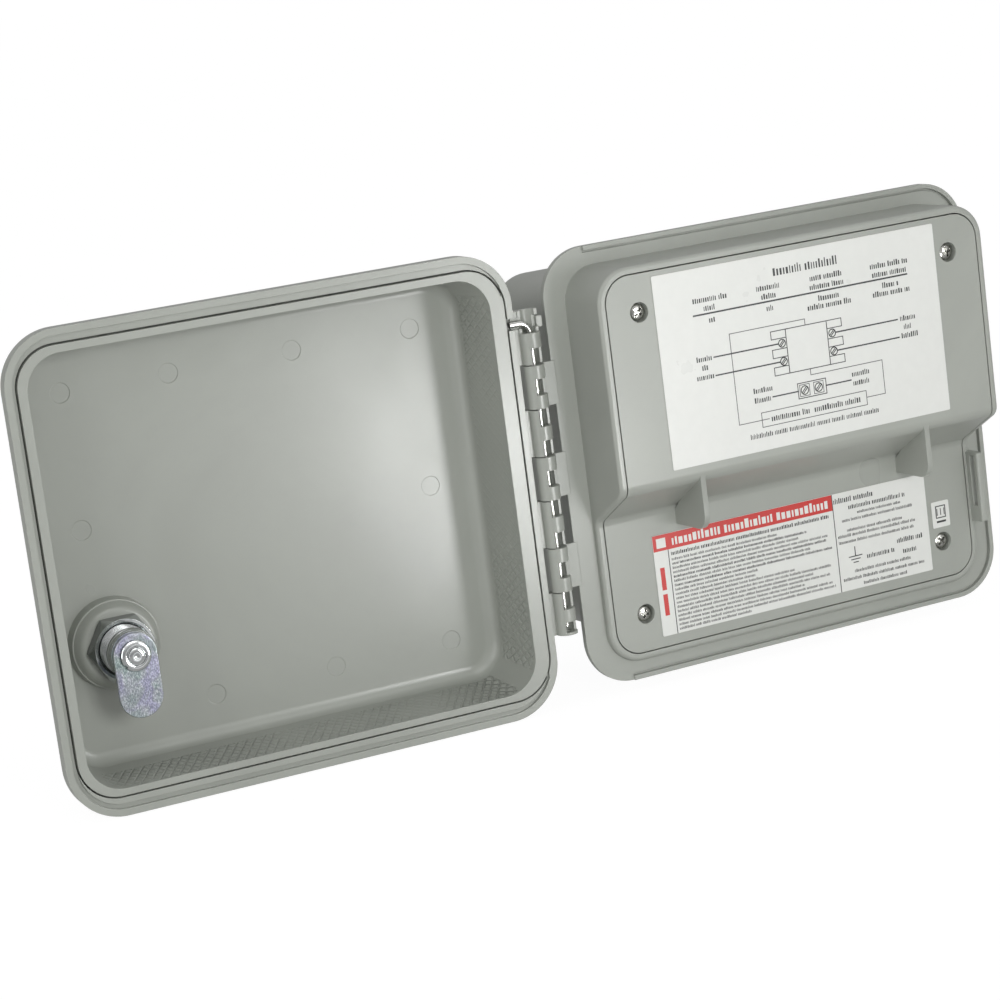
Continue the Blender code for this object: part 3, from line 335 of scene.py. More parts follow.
class Nodes:
    """Short ways to wire the nodes of a material or a world."""

    def __init__(self, owner, clear=False):
        owner.use_nodes = True
        self.owner = owner
        self.tree = owner.node_tree
        if clear:
            self.tree.nodes.clear()
        self.places = self.add("TexCoord").outputs
        self.where = self.places["Object"]

    def add(self, kind, inputs=None, **settings):
        node = self.tree.nodes.new("ShaderNode" + kind)
        for key, value in settings.items():
            setattr(node, key, value)
        for key, value in (inputs or {}).items():
            self.link(value, node.inputs[key])
        return node

    def link(self, source, target):
        """Puts a number, a colour, a vector or another node's output into an input."""
        if isinstance(source, tuple):
            target.default_value = (*source, 1.0) if target.type == "RGBA" else source
        elif isinstance(source, (int, float)):
            target.default_value = source
        else:
            self.tree.links.new(source, target)

    def scaled(self, scale, turn):
        return self.add("Mapping", {"Vector": self.where, "Scale": scale, "Rotation": turn}).outputs["Vector"]

    def noise(self, scale, detail=3.0, roughness=0.5, vector=None, distortion=0.0):
        inputs = {"Scale": scale, "Detail": detail, "Roughness": roughness, "Distortion": distortion}
        inputs["Vector"] = self.where if vector is None else vector
        return self.add("TexNoise", inputs).outputs["Fac"]

    def remap(self, value, low, high, out_low, out_high):
        inputs = {"Value": value, "From Min": low, "From Max": high, "To Min": out_low, "To Max": out_high}
        return self.add("MapRange", inputs).outputs["Result"]

    def math(self, operation, first, second=0.0):
        return self.add("Math", {0: first, 1: second}, operation=operation).outputs[0]

    def times(self, product, *others):
        for other in others:
            product = self.math("MULTIPLY", product, other)
        return product

    def split(self, vector):
        return self.add("SeparateXYZ", {"Vector": vector}).outputs

    def ramp(self, value, *stops):
        node = self.add("ValToRGB", {"Fac": value})
        elements = node.color_ramp.elements
        while len(elements) < len(stops):
            elements.new(0.5)
        for element, (place, colour) in zip(elements, stops):
            element.position = place
            element.color = (*colour, 1.0)
        return node.outputs["Color"]

    def mix(self, factor, first, second):
        return self.add("Mix", {"Factor": factor, 6: first, 7: second}, data_type="RGBA").outputs[2]

    def mix_shaders(self, factor, first, second):
        return self.add("MixShader", {0: factor, 1: first, 2: second}).outputs[0]

    def bump(self, height, strength, distance, before=None):
        inputs = {"Height": height, "Strength": strength, "Distance": distance}
        if before is not None:
            inputs["Normal"] = before
        return self.add("Bump", inputs).outputs["Normal"]

    def edge_normal(self, radius):
        return self.add("Bevel", {"Radius": radius}, samples=4).outputs["Normal"]

    def edge_wear(self, radius, amount):
        """Strong where the surface turns within a radius, broken up by noise."""
        flat = self.add("NewGeometry").outputs["Normal"]
        apart = self.add("VectorMath", {0: self.edge_normal(radius), 1: flat}, operation="DOT_PRODUCT")
        bend = self.remap(apart.outputs["Value"], 0.995, 0.90, 0.0, amount)
        return self.times(bend, self.remap(self.noise(180.0, 4.0, 0.7), 0.35, 0.6, 0.2, 1.0))

    def set(self, colour, rough, normal, metal=0.0):
        shader = self.tree.nodes["Principled BSDF"]
        sockets = {"Base Color": colour, "Roughness": rough, "Normal": normal, "Metallic": metal}
        for key, value in sockets.items():
            self.link(value, shader.inputs[key])
        return self.owner


def material(name, clear=False):
    return Nodes(bpy.data.materials.new(name), clear)


def plastic(name, colour, rough=0.30, emboss=False):
    """Moulded plastic: faint flow marks in colour, handling marks in the gloss, fine moulded grain."""
    n = material(name)
    flow = n.noise(9.0, 4.0, 0.55, distortion=1.5)
    fine = n.noise(160.0, 3.0, 0.6)
    base = n.ramp(flow, (0.3, shade(colour, 0.94)), (0.7, shade(colour, 1.05)))
    base = n.mix(n.remap(fine, 0.55, 0.75, 0.0, 0.05), base, shade(colour, 0.75))
    base = n.mix(n.edge_wear(0.0006, 0.35), base, shade(colour, 1.35))
    marks = n.noise(45.0, 1.0, 0.4, vector=n.scaled((1, 1, 0.3), (0.3, 0.2, 0.5)))
    gloss = n.remap(n.noise(20.0, 2.0, 0.5), 0.25, 0.75, rough - 0.04, rough + 0.05)
    gloss = n.math("ADD", gloss, n.remap(marks, 0.40, 0.80, 0.0, 0.05))
    normal = n.bump(n.noise(1700.0, 2.0, 0.6), 0.10, 0.00004, n.edge_normal(0.00035))
    normal = n.bump(n.noise(34.0, 2.0, 0.5), 0.10, 0.0005, normal)
    if emboss:
        normal = embossed(n, normal)
    return n.set(base, gloss, normal)


def embossed(n, normal):
    """Small diamonds pressed into the recess's lower wall and its wall beside the hinge."""
    diamond_w, diamond_d = 3.6 * MM, 6.0 * MM
    across, deep, up = n.split(n.where)
    facing = n.split(n.places["Normal"])
    front, back = (RIM + 2.5) * MM, (RIM + 27.0) * MM
    inside = n.times(n.math("GREATER_THAN", deep, front), n.math("LESS_THAN", deep, back))

    def diamonds(along):
        along = n.times(along, math.pi / diamond_w)
        inward = n.times(deep, math.pi / diamond_d)
        one = n.math("SINE", n.math("ADD", along, inward))
        two = n.math("SINE", n.math("SUBTRACT", along, inward))
        grid = n.math("MINIMUM", n.math("ABSOLUTE", one), n.math("ABSOLUTE", two))
        return n.remap(grid, 0.05, 0.6, 0.0, 1.0)

    floor = n.times(n.math("GREATER_THAN", facing[2], 0.9), n.math("LESS_THAN", up, -0.07))
    beside = n.times(n.math("LESS_THAN", facing[0], -0.9), n.math("GREATER_THAN", across, -0.122))
    height = n.math("ADD", n.times(diamonds(across), floor), n.times(diamonds(up), beside, 0.45))
    fade = n.remap(n.noise(22.0, 2.0, 0.5), 0.38, 0.60, 0.12, 1.0)
    return n.bump(n.times(height, inside, fade), 1.0, 0.0007, normal)


def film(name, colour, rough=0.32):
    """Printed label film: paper-fine mottling and a slightly uneven gloss."""
    n = material(name)
    base = n.ramp(n.noise(220.0, 4.0, 0.6), (0.3, shade(colour, 0.97)), (0.7, colour))
    base = n.mix(n.remap(n.noise(14.0, 3.0), 0.5, 0.8, 0.0, 0.12), base, shade(colour, 0.9))
    normal = n.bump(n.noise(30.0, 2.0), 0.12, 0.0004)
    normal = n.bump(n.noise(900.0, 2.0), 0.05, 0.00005, normal)
    gloss = n.remap(n.noise(40.0, 4.0), 0.3, 0.7, rough - 0.05, rough + 0.08)
    return n.set(base, gloss, normal)


def metal(
    name, dark, light, rough, grain=0.3, stretch=(1, 1, 1), tint=(), scratch=0.25, painted_flank_light=1.0, speckle=0.0
):
    """Plated metal: patches of tone, grain along one way, fine crossing scratches, and painted shade on faces
    turned side-on to the front.
    """
    n = material(name)
    patches = n.noise(70.0, 4.0, 0.6, distortion=1.0)
    base = n.ramp(patches, (0.32, dark), (0.68, light))
    if tint:
        base = n.mix(0.75, base, n.ramp(n.noise(95.0, 3.0, 0.6, distortion=0.8), *tint))
    lines = n.noise(900.0, 3.0, 0.7, vector=n.scaled(stretch, (0.2, 0.5, 0.3)))
    across = n.noise(1200.0, 2.0, 0.7, vector=n.scaled((1, 1, 0.05), (0.1, 0.9, 0.2)))
    scratches = n.remap(across, 0.62, 0.72, 0.0, 1.0)
    base = n.mix(n.times(scratches, scratch), base, shade(light, 1.5))
    if speckle:
        grit = n.noise(2300.0, 3.0, 0.7, vector=n.scaled((1, 1, 0.6), (0.3, 0.4, 0.8)))
        base = n.mix(n.remap(grit, 0.44, 0.56, speckle, 0.0), base, shade(dark, 0.35))
        base = n.mix(n.remap(grit, 0.54, 0.66, 0.0, speckle), base, shade(light, 1.6))
        base = n.mix(n.edge_wear(0.0005, 0.9), base, (0.95, 0.96, 0.97))
    # Painted shade and darker reflection: faces turned side-on to the front are darkened towards a near-black
    # tone, more so the lower the share of light they keep.
    if painted_flank_light < 1.0:
        facing = n.split(n.places["Normal"])
        painted_flank_shade = n.remap(n.math("ABSOLUTE", facing[1]), 0.25, 0.65, 1.0 - painted_flank_light, 0.0)
        base = n.mix(painted_flank_shade, base, shade(dark, 0.12))
    gloss = n.remap(patches, 0.3, 0.7, rough * 0.8, rough * 1.25)
    gloss = n.math("ADD", gloss, n.times(scratches, 0.12))
    return n.set(base, gloss, n.bump(lines, grain, 0.00003, n.edge_normal(0.00015)), 1.0)


def rubbery(name, colour):
    n = material(name)
    cells = n.add("TexVoronoi", {"Vector": n.where, "Scale": 1400.0})
    base = n.ramp(n.noise(300.0, 3.0), (0.3, shade(colour, 0.7)), (0.7, shade(colour, 1.3)))
    normal = n.bump(cells.outputs["Distance"], 0.4, 0.0001)
    return n.set(base, n.remap(n.noise(200.0), 0.3, 0.7, 0.7, 0.9), normal)


def wound(name):
    """Enamelled copper wire, wound about Y, with painted shade in the grooves between turns."""
    n = material(name)
    inputs = {"Vector": n.where, "Scale": 420.0, "Distortion": 0.4}
    turns = n.add("TexWave", inputs, bands_direction="Y").outputs["Fac"]
    # The ramp paints shade into the dark bands between the wire turns.
    base = n.ramp(turns, (0.1, (0.16, 0.05, 0.015)), (0.7, (0.62, 0.27, 0.09)))
    return n.set(base, n.remap(n.noise(60.0), 0.3, 0.7, 0.2, 0.35), n.bump(turns, 0.7, 0.0002), 0.7)


GREY = (0.335, 0.350, 0.318)
ZINC_TINT = (
    (0.32, (0.34, 0.48, 0.44)),
    (0.47, (0.50, 0.54, 0.60)),
    (0.60, (0.44, 0.42, 0.68)),
    (0.74, (0.60, 0.64, 0.74)),
)
LOOKS = {
    "grey_plastic": plastic("grey_plastic_look", GREY),
    "door_plastic": plastic("door_plastic_look", GREY, emboss=True),
    "printed_label": film("label_film_look", (0.70, 0.71, 0.68)),
    "ink": film("black_ink_look", (0.035, 0.037, 0.036), 0.4),
    "soft_ink": film("grey_ink_look", (0.10, 0.102, 0.098), 0.4),
    "red": film("red_ink_look", (0.52, 0.028, 0.022), 0.36),
    "black_plastic": plastic("black_plastic_look", (0.028, 0.028, 0.03), 0.42),
    # Gasket: its near-black grey is painted shade, standing in for the shadow down the deep groove round the
    # door's rim.
    "gasket": rubbery("groove_shade_gasket_look", (0.075, 0.078, 0.070)),
    # Chrome: side faces of the nut and barrel are painted dark, a painted reflection of the shaded panel beside
    # them.
    "chrome": metal("chrome_look", (0.66, 0.69, 0.69), (0.90, 0.92, 0.92), 0.15, grain=0.15, painted_flank_light=0.16),
    "zinc": metal(
        "zinc_look",
        (0.42, 0.45, 0.49),
        (0.66, 0.70, 0.75),
        0.34,
        grain=0.6,
        stretch=(1, 1, 0.3),
        scratch=0.4,
        speckle=0.55,
        tint=ZINC_TINT,
    ),
    "steel": metal("steel_look", (0.46, 0.46, 0.44), (0.72, 0.72, 0.69), 0.24, stretch=(1, 1, 0.1)),
    # Cover screws: a dark tone, darker still on the side faces of the heads, painted shade of the sinks they sit
    # in.
    "screw": metal("screw_look", (0.34, 0.34, 0.31), (0.66, 0.66, 0.62), 0.22, grain=0.25, painted_flank_light=0.5),
    "copper": metal("copper_look", (0.52, 0.24, 0.13), (0.80, 0.45, 0.28), 0.3),
    "winding": wound("winding_look"),
    "brass": metal("brass_look", (0.50, 0.37, 0.14), (0.80, 0.63, 0.30), 0.27),
    "aluminium": metal(
        "aluminium_look", (0.55, 0.56, 0.57), (0.78, 0.79, 0.80), 0.34, grain=0.5, stretch=(0.1, 1, 1)
    ),
    "yellow_wire": plastic("yellow_wire_look", (0.70, 0.45, 0.03), 0.4),
}


# ---------------------------------------------------------------- putting pieces on the frame
def paint(obj, look, angle):
    """Covers a mesh in one look, shaded smooth except across edges sharper than the angle."""
    obj.data.materials.clear()
    obj.data.materials.append(LOOKS[look])
    for polygon in obj.data.polygons:
        polygon.use_smooth = True
        polygon.material_index = 0
    obj.data.set_sharp_from_angle(angle=math.radians(angle))


def soft_edges(obj, width, angle, **how):
    how |= {"limit_method": "ANGLE", "angle_limit": math.radians(angle), "harden_normals": True}
    modify(obj, "BEVEL", width=width * MM, segments=2, **how)


def finish(obj, look, body, node, soften=0.0, angle=32):
    """Opens, paints, rounds and mounts a new piece, and hides the CAD node it stands for."""
    if body in ("door", "lock"):
        obj.data.transform(OPEN)
    paint(obj, look, angle)
    if soften:
        soft_edges(obj, soften, angle, miter_outer="MITER_ARC")
    modify(obj, "WEIGHTED_NORMAL", keep_sharp=True, weight=80)
    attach(obj, body)
    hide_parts(node)


# ---------------------------------------------------------------- box
def rounded(corner, before, after, radius, steps):
    """An arc that rounds off the corner between two straight runs."""
    corner = Vector(corner)
    ways = [(Vector(point) - corner).normalized() for point in (before, after)]
    half = math.acos(ways[0].dot(ways[1])) / 2
    middle = corner + (ways[0] + ways[1]).normalized() * radius / math.sin(half)
    start, stop = (corner + way * radius / math.tan(half) - middle for way in ways)
    return [tuple(middle + start.slerp(stop, i / steps).normalized() * radius) for i in range(steps + 1)]


def stepped_front(back_y, inset=0.0, end_z=NECK_Z):
    """The neck's side outline: high at the top, then a slope down to the low front."""
    slope_angle = math.atan2(HIGH - LOW, SLOPE_TOP_Z - SLOPE_END_Z)
    shift = inset * math.tan(slope_angle / 2)
    high_y, low_y = MATE - HIGH + inset, MATE - LOW + inset
    top, low = (high_y, end_z), (low_y, -end_z)
    crest, foot = (high_y, SLOPE_TOP_Z + shift), (low_y, SLOPE_END_Z + shift)
    slope = rounded(crest, top, foot, 5.0 - inset, 10) + rounded(foot, crest, low, 4.0 + inset, 9)
    return [(back_y, end_z), top, *slope, low, (back_y, -end_z)]


def soften_front(obj, width):
    """Rounds the edges round the front of a stepped piece."""

    def change(bm):
        bmesh.ops.dissolve_limit(bm, angle_limit=math.radians(0.5), verts=bm.verts, edges=bm.edges)
        chosen = []
        for edge in bm.edges:
            fronts = [face for face in edge.link_faces if face.normal.y < -0.2 and abs(face.normal.x) < 1e-3]
            sides = [face for face in edge.link_faces if abs(face.normal.y) < 1e-3]
            if len(edge.link_faces) == 2 and len(fronts) == 1 and len(sides) == 1:
                chosen.append(edge)
        bevel(bm, chosen, width * MM, 4)

    return weld(edited(obj, change))


def barrel(name, z, leaf):
    low, high = z[0] + BARREL_GAP, z[1] - BARREL_GAP
    made = join(hinge_rod(name, BARREL_R, (low, high), seg=40), block("leaf", *leaf, (low, high)))
    return cut(made, hinge_rod("bore", BORE_R, (low - 2, high + 2), seg=24))


def screw_places():
    """X, Z and front face of the inner cover's four screws."""
    rows = ((SCREW_TOP_Z, MATE - HIGH), (SCREW_LOW_Z, MATE - LOW))
    return [(x, z, y) for z, y in rows for x in both(SCREW_X)]


def box_piece():
    tub = block("box", both(TUB_X), (MATE + 1.6, 0), both(TUB_Z), corner=TUB_R, back=3.5, soft=5, seg=14)
    x, z = both(FLANGE_X), both(FLANGE_Z)
    join(tub, block("flange", x, (MATE, MATE + FLANGE_T), z, corner=FLANGE_R, back=1.0, seg=16))
    lip, floor = LIP_W + LIP_GROOVE, MATE + TRAY_D
    tray = ring("tray", x, z, FLANGE_R, TRAY_W, lip, (MATE - 2, floor), 16)
    groove = ring("groove", x, z, FLANGE_R, lip + 0.05, LIP_W, (MATE - 2, floor + 0.8), 16)
    hinge_side = (-FLANGE_X - 5, -FLANGE_X + FLANGE_R)
    cut(groove, block("hinge_side", hinge_side, (MATE - 5, MATE + 5), both(90)))
    cut(tub, tray, groove, block("hinge_level", hinge_side, (MATE - 2, floor), both(90)))

    neck = extruded("neck", stepped_front(MATE + 2, end_z=NECK_Z + 5), both(NECK_X + 5))
    neck_y = (MATE - HIGH - 1, MATE + 3)
    common(neck, block("neck_round", both(NECK_X), neck_y, both(NECK_Z), corner=NECK_R, seg=14))
    soften_front(neck, 1.5)
    join(tub, neck)
    cavity = both(TUB_X - WALL), (SHELF_Y - 1.0, -WALL), both(TUB_Z - WALL)
    opening = both(NECK_X - NECK_T), (MATE - HIGH - 5, SHELF_Y), both(NECK_Z - NECK_T)
    cut(
        tub,
        block("cavity", *cavity, corner=TUB_R - WALL),
        block("opening", *opening, corner=NECK_R - NECK_T, seg=14),
    )

    keeper_y, keeper_z = (MATE - KEEPER_H, MATE + 2), (KEEPER_END, KEEPER_TOP)
    join(tub, block("keeper", (KEEPER_X0, KEEPER_X1), keeper_y, keeper_z, front=0.8))
    floor = -WALL + 1
    posts, holes = [], []
    for x, z, y in screw_places():
        posts.append(rod("post", (x, z), POST_R, (y + 6.3, floor), seg=24, radius2=POST_R + 1))
        holes.append(rod("bore", (x, z), POST_BORE_R, (y + 5, y + 22), seg=16))
    for stud in [(x, z) for x in both(STUD_X) for z in STUD_Z]:
        posts.append(rod("stud", stud, STUD_R, (-7.9, floor), seg=24))
        holes.append(rod("bore", stud, STUD_BORE_R, (-9, -3.6), seg=16))
    join(tub, *posts)
    back = (-WALL - 1, 1)
    for x in both(WALL_HOLE_X):
        holes.append(rod("keyhole", (x, WALL_HOLE_Z), KEYHOLE_R, back, seg=32))
        key_slot = (x - 2.4, x + 2.4), back, (WALL_HOLE_Z, WALL_HOLE_Z + 7)
        holes.append(block("key_slot", *key_slot, corner=1.0, seg=4))
        holes.append(rod("wall_hole", (x, -WALL_HOLE_Z), WALL_HOLE_R, back, seg=24))
    for x in both(KNOCK_X):
        disc = rod("knock", (x, KNOCK_Y), KNOCK_R + 1, (-TUB_Z - 1, -TUB_Z + 1), axis="Z", seg=64)
        core = rod("core", (x, KNOCK_Y), KNOCK_R, (-TUB_Z - 3, -TUB_Z + 3), axis="Z", seg=64)
        holes.append(cut(disc, core))
    holes.append(block("cam_slot", (KEEPER_X0 - 2, KEEPER_X1 + 2), (MATE - 7.1, MATE - 4.3), (-45.8, -25.6)))
    cut(tub, *holes)

    leaf = ((-97.6, -FLANGE_X + 1.0), (MATE + 0.5, MATE + 3.9))
    for low, high in zip(KNUCKLES[3::2], KNUCKLES[2::2]):
        sight_z = ((low + high) / 2 - 3.0, (low + high) / 2 + 3.0)
        sight = block("sight", (AXIS_X - 1.7, AXIS_X + 4.4), (MATE - 6, AXIS_Y + 0.1), sight_z)
        join(tub, cut(barrel("knuckle", (low, high), leaf), sight, hinge_rod("hollow", HOLLOW_R, sight_z)))
    finish(tub, "grey_plastic", "enclosure", "base_box", soften=0.22)


def cover_piece():
    front, back = stepped_front(MATE), stepped_front(MATE, inset=COVER_T)
    plate = extruded("cover", front[1:-1] + back[1:-1][::-1], both(COVER_X + 5))
    cover_y = (MATE - HIGH - 1, MATE + 8)
    common(plate, block("cover_round", both(COVER_X), cover_y, both(COVER_Z), corner=COVER_R, seg=12))
    front_y, back_y = MATE - HIGH + 0.3, MATE - LOW + 1.3
    outline = [(front_y + 1.5, SLOPE_TOP_Z + 3.4), (front_y, SLOPE_TOP_Z + 1.4)]
    outline += arc((front_y + 6.0, RIB_END_Z + 6.0), 6.0, 180, 270, 12)
    outline += [(back_y, RIB_END_Z), (back_y, SLOPE_END_Z - 2.4)]
    webs = [extruded("web", outline, (x, x + RIB_T)) for x in (-RIB_X - RIB_T + 1.0, RIB_X)]
    bosses, holes = [], []
    for x, z, y in screw_places():
        bosses.append(rod("boss", (x, z), 5.6, (y + 1.0, y + 6.0)))
        holes.append(rod("sink", (x, z), 3.7, (y - 1, y + SINK_D)))
        holes.append(rod("clear", (x, z), 1.9, (y + 2, y + 8), seg=24))
    join(plate, *webs, *bosses)
    cut(plate, *holes)
    finish(plate, "grey_plastic", "enclosure", "inner_cover", soften=0.35)


def cross_screw(name, centre, seat, spin):
    """A pan-head screw with a cross recess."""
    head_r, head_h, shank_r, length, pitch = 3.2, 2.1, 1.35, 16.0, 1.1
    quarter = [math.pi / 16 * i for i in range(1, 9)]
    profile = [(0.0, seat - head_h)]
    profile += [(head_r * math.sin(a), seat - head_h * (0.35 + 0.65 * math.cos(a))) for a in quarter]
    profile += [(head_r, seat), (shank_r, seat)]
    y = seat + 1.5
    while y + pitch < seat + length - 1.5:
        profile += [(shank_r, y), (shank_r * 0.78, y + pitch / 2)]
        y += pitch
    profile += [(shank_r, y), (shank_r * 0.3, seat + length), (0.0, seat + length)]
    made = turned(name, centre, profile, seg=32)
    recess = []
    for turn in (0, 90):
        arm_y = (seat - head_h - 1, seat - head_h * 0.25)
        arm = block("arm", both(head_r * 0.6), arm_y, both(head_r * 0.15))
        arm.data.transform(about(centre, turn + spin))
        recess.append(arm)
    eye = (seat - head_h - 0.5, seat - head_h * 0.1)
    return cut(made, *recess, rod("eye", centre, head_r * 0.05, eye, radius2=0.02, seg=16))


def cover_screws():
    for number, (x, z, y) in enumerate(screw_places(), 1):
        name = f"cover_screw_{number}"
        made = cross_screw(name + "_fine", (x, z), y + SINK_D - 0.25, 12 + 31 * number)
        finish(made, "screw", "enclosure", name, soften=0.06)


# ---------------------------------------------------------------- printing on the labels
class Print:
    """Flat shapes in the XZ plane that become a thin raised layer of ink."""

    def __init__(self):
        self.shapes = []

    def rect(self, x0, x1, z0, z1):
        self.shapes.append([(x0, z0), (x1, z0), (x1, z1), (x0, z1)])

    def line(self, start, end, width):
        a, b = Vector(start), Vector(end)
        way = (b - a).normalized() * width / 2
        side = Vector((-way.y, way.x))
        corners = (a - way - side, b + way - side, b + way + side, a - way + side)
        self.shapes.append([tuple(corner) for corner in corners])

    def path(self, points, width, closed=False):
        for start, end in zip(points, points[1:] + (points[:1] if closed else [])):
            self.line(start, end, width)

    def frame(self, x0, x1, z0, z1, width):
        self.path([(x0, z0), (x1, z0), (x1, z1), (x0, z1)], width, closed=True)

    def circle(self, centre, radius, width):
        self.path(arc(centre, radius, 0, 360, 20)[:-1], width, closed=True)

    def words(self, x0, x1, z, height, weight, lengths):
        """A row of plain upright blocks in uneven groups: the grey of small print, with nothing to read."""
        x = x0
        while x < x1 - height * 0.5:
            for _ in range(2 * random.randint(*lengths)):
                wide = height * weight * random.uniform(0.7, 1.7)
                if x + wide > x1:
                    x = x1
                    break
                self.rect(x, x + wide, z, z + height * random.choice((0.74, 0.74, 0.74, 0.86, 1.0)))
                x += wide + height * 0.19
            x += height * 0.36

    def centred(self, x, z, width, height, weight, lengths):
        self.words(x - width / 2, x + width / 2, z - height / 2, height, weight, lengths)

    def build(self, name, surface_y, look, thick=0.03):
        bm = bmesh.new()
        for shape in self.shapes:
            front, back = (
                [bm.verts.new((x, y, z)) for x, z in shape] for y in (surface_y - thick, surface_y + 0.02)
            )
            bm.faces.new(front)
            bm.faces.new(back[::-1])
            for side in zip(front, back, back[1:] + back[:1], front[1:] + front[:1]):
                bm.faces.new(side)
        made = as_object(name, bm)
        made.data.materials.append(LOOKS[look])
        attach(made, "enclosure")


def label_plate(name, node):
    """Lays a sheet over the label's CAD node and gives the Y of its face."""
    low, high = node_box(node)
    plate = block(name, *zip(low, high), corner=0.6, seg=4)
    finish(plate, "printed_label", "enclosure", node, soften=0.03)
    return low.y


def diagram_label():
    """A plain wiring scheme: a table of four columns above a relay with four terminals and a ground bar."""
    surface = label_plate("diagram_sheet", "label_diagram")
    ink, soft = Print(), Print()
    ink.words(-10.3, 20.0, 61.7, 3.3, 0.17, (4, 6))
    columns = (
        (-37.7, (15.0, 6.4, 3.0, 0)),
        (-13.1, (10.0, 6.4, 3.0, 0)),
        (12.4, (14.6, 15.4, 9.0, 19.0)),
        (40.1, (16.8, 15.6, 7.6, 16.6)),
    )
    for x, widths in columns:
        for z, width in zip((58.2, 54.9, 50.4, 47.5), widths):
            if width:
                ink.centred(x, z, width, 2.1, 0.19, (3, 6))
    ink.line((-45.4, 52.8), (47.6, 52.9), 0.62)
    left, right, top, bottom = -7.7, 10.2, 41.5, 25.0
    ink.frame(left, right, top, bottom, 0.34)
    for z0, z1 in ((38.5, top), (31.5, 34.6), (bottom, 28.0)):
        ink.frame(-14.1, left, z0, z1, 0.32)
        ink.frame(right, 16.7, z0, z1, 0.32)

    def terminal(x, z, radius):
        ink.circle((x, z), radius, 0.36)
        ink.line((x - radius * 0.75, z - radius * 0.45), (x + radius * 0.45, z + radius * 0.75), 0.36)
        ink.line((x - radius * 0.45, z - radius * 0.75), (x + radius * 0.75, z + radius * 0.45), 0.36)

    def notes(*places):
        for x, z, width in places:
            ink.centred(x, z, width, 2.0, 0.19, (5, 7))

    for z in (36.55, 29.75):
        terminal(left - 2.0, z, 1.45)
        terminal(right + 2.1, z, 1.45)
        ink.line((-38.9, z), (left - 3.6, z), 0.52)
        ink.line((right + 3.7, z), (41.4, z), 0.52)
    notes((-42.8, 36.7, 7.0), (-42.8, 33.4, 3.0), (-43.1, 30.0, 7.6))
    notes((46.2, 36.7, 7.0), (46.0, 33.4, 4.0), (46.4, 30.1, 7.6))
    soft.path([(1.0, top), (1.0, 43.8), (-31.5, 43.8), (-31.5, 9.8), (-18.6, 9.8)], 0.30)
    soft.path([(1.2, bottom), (1.2, 22.7), (32.8, 22.7), (32.8, 9.9), (24.4, 9.9)], 0.30)
    ink.frame(-5.0, 7.3, 14.7, 20.4, 0.34)
    for x in (-2.1, 4.0):
        ink.frame(x - 2.1, x + 2.1, 15.4, 19.7, 0.24)
        terminal(x, 17.55, 1.6)
    ink.line((-16.0, 17.55), (-5.0, 17.55), 0.5)
    ink.line((7.3, 17.6), (18.3, 17.6), 0.5)
    notes((-19.8, 21.0, 8.4), (-20.2, 17.4, 7.4), (23.2, 19.7, 8.4), (22.9, 16.3, 7.4))
    soft.frame(-21.7, 24.4, 7.1, 12.5, 0.30)
    ink.words(-17.6, -0.8, 8.6, 2.2, 0.19, (5, 7))
    ink.words(1.2, 21.6, 8.6, 2.2, 0.19, (6, 8))
    ink.words(-27.3, 29.7, 3.4, 1.9, 0.16, (4, 9))
    ink.build("diagram_ink", surface, "ink")
    soft.build("diagram_thin_ink", surface, "soft_ink")


def rating_label():
    """Greyed small print in two columns, with a plain red heading band and two plain red bars."""
    surface = label_plate("rating_sheet", "label_rating")
    ink, red, white = Print(), Print(), Print()
    edge, column, divide = -61.15, -55.0, 18.35
    red.rect(edge, divide, -35.4, -29.3)
    red.rect(-59.3, -57.4, -50.4, -41.8)
    red.rect(-59.3, -57.4, -60.2, -52.0)
    white.rect(-59.7, -55.7, -34.3, -30.6)
    white.words(-53.0, 16.2, -34.1, 3.5, 0.3, (6, 7))
    ink.line((column, -35.6), (column, -67.7), 0.34)
    ink.line((divide, -29.4), (divide, -67.7), 0.34)
    ink.words(-53.9, 16.4, -37.9, 1.5, 0.24, (7, 12))
    reach = (0.66, 0.85, 0.80, 0.98, 0.97, 0.86, 1.0, 0.52, 0.5, 0.75, 0.98, 0.86, 0.97, 0.8, 0.98, 1.0, 0.45)
    for row, share in enumerate(reach):
        heavy = row in (1, 4, 6)
        z = -39.9 - 1.68 * row
        ink.words(-53.9, -53.9 + 70.3 * share, z, 1.05, 0.26 if heavy else 0.17, (3, 9))
    rows = [(18.9, 37.2, -33.2, 2.1), (25.3, 51.7, -36.3, 1.8), (29.1, 49.0, -38.6, 1.1)]
    rows += [(21.9, 55.3, -40.9, 1.2), (23.7, 50.1, -44.9, 1.2), (19.4, 55.0, -46.9, 1.2)]
    rows += [(19.5, 54.2, -49.3, 1.2), (31.5, 44.5, -57.0, 1.9), (45.8, 58.0, -54.0, 1.9)]
    rows += [(48.1, 55.1, -58.5, 1.9), (25.3, 51.9, -61.4, 1.3), (19.9, 57.7, -64.1, 1.3)]
    rows += [(28.8, 48.9, -66.8, 1.3)]
    for x0, x1, z, height in rows:
        ink.words(x0, x1, z, height, 0.18, (4, 9))
    ink.line((26.3, -51.4), (26.3, -55.0), 0.4)
    for step in range(3):
        ink.line((23.4 + 0.95 * step, -55.0 - 1.2 * step), (29.2 - 0.95 * step, -55.0 - 1.2 * step), 0.4)
    ink.build("rating_ink", surface, "ink", thick=0.035)
    red.build("rating_band", surface, "red", thick=0.03)
    white.build("rating_band_marks", surface - 0.03, "printed_label", thick=0.03)


def symbol_label():
    surface = label_plate("symbol_sheet", "label_symbol")
    low, high = node_box("label_symbol")
    ink = Print()
    ink.frame(low.x + 1.9, high.x - 1.9, low.z + 3.9, high.z - 1.9, 0.4)
    for share in (0.3, 0.5, 0.7):
        x = low.x + (high.x - low.x) * share
        ink.line((x, low.z + 5.0), (x, high.z - 3.0), 0.34)
    ink.rect(low.x + 1.9, high.x - 1.9, low.z + 1.9, low.z + 2.7)
    ink.build("symbol_ink", surface, "ink")


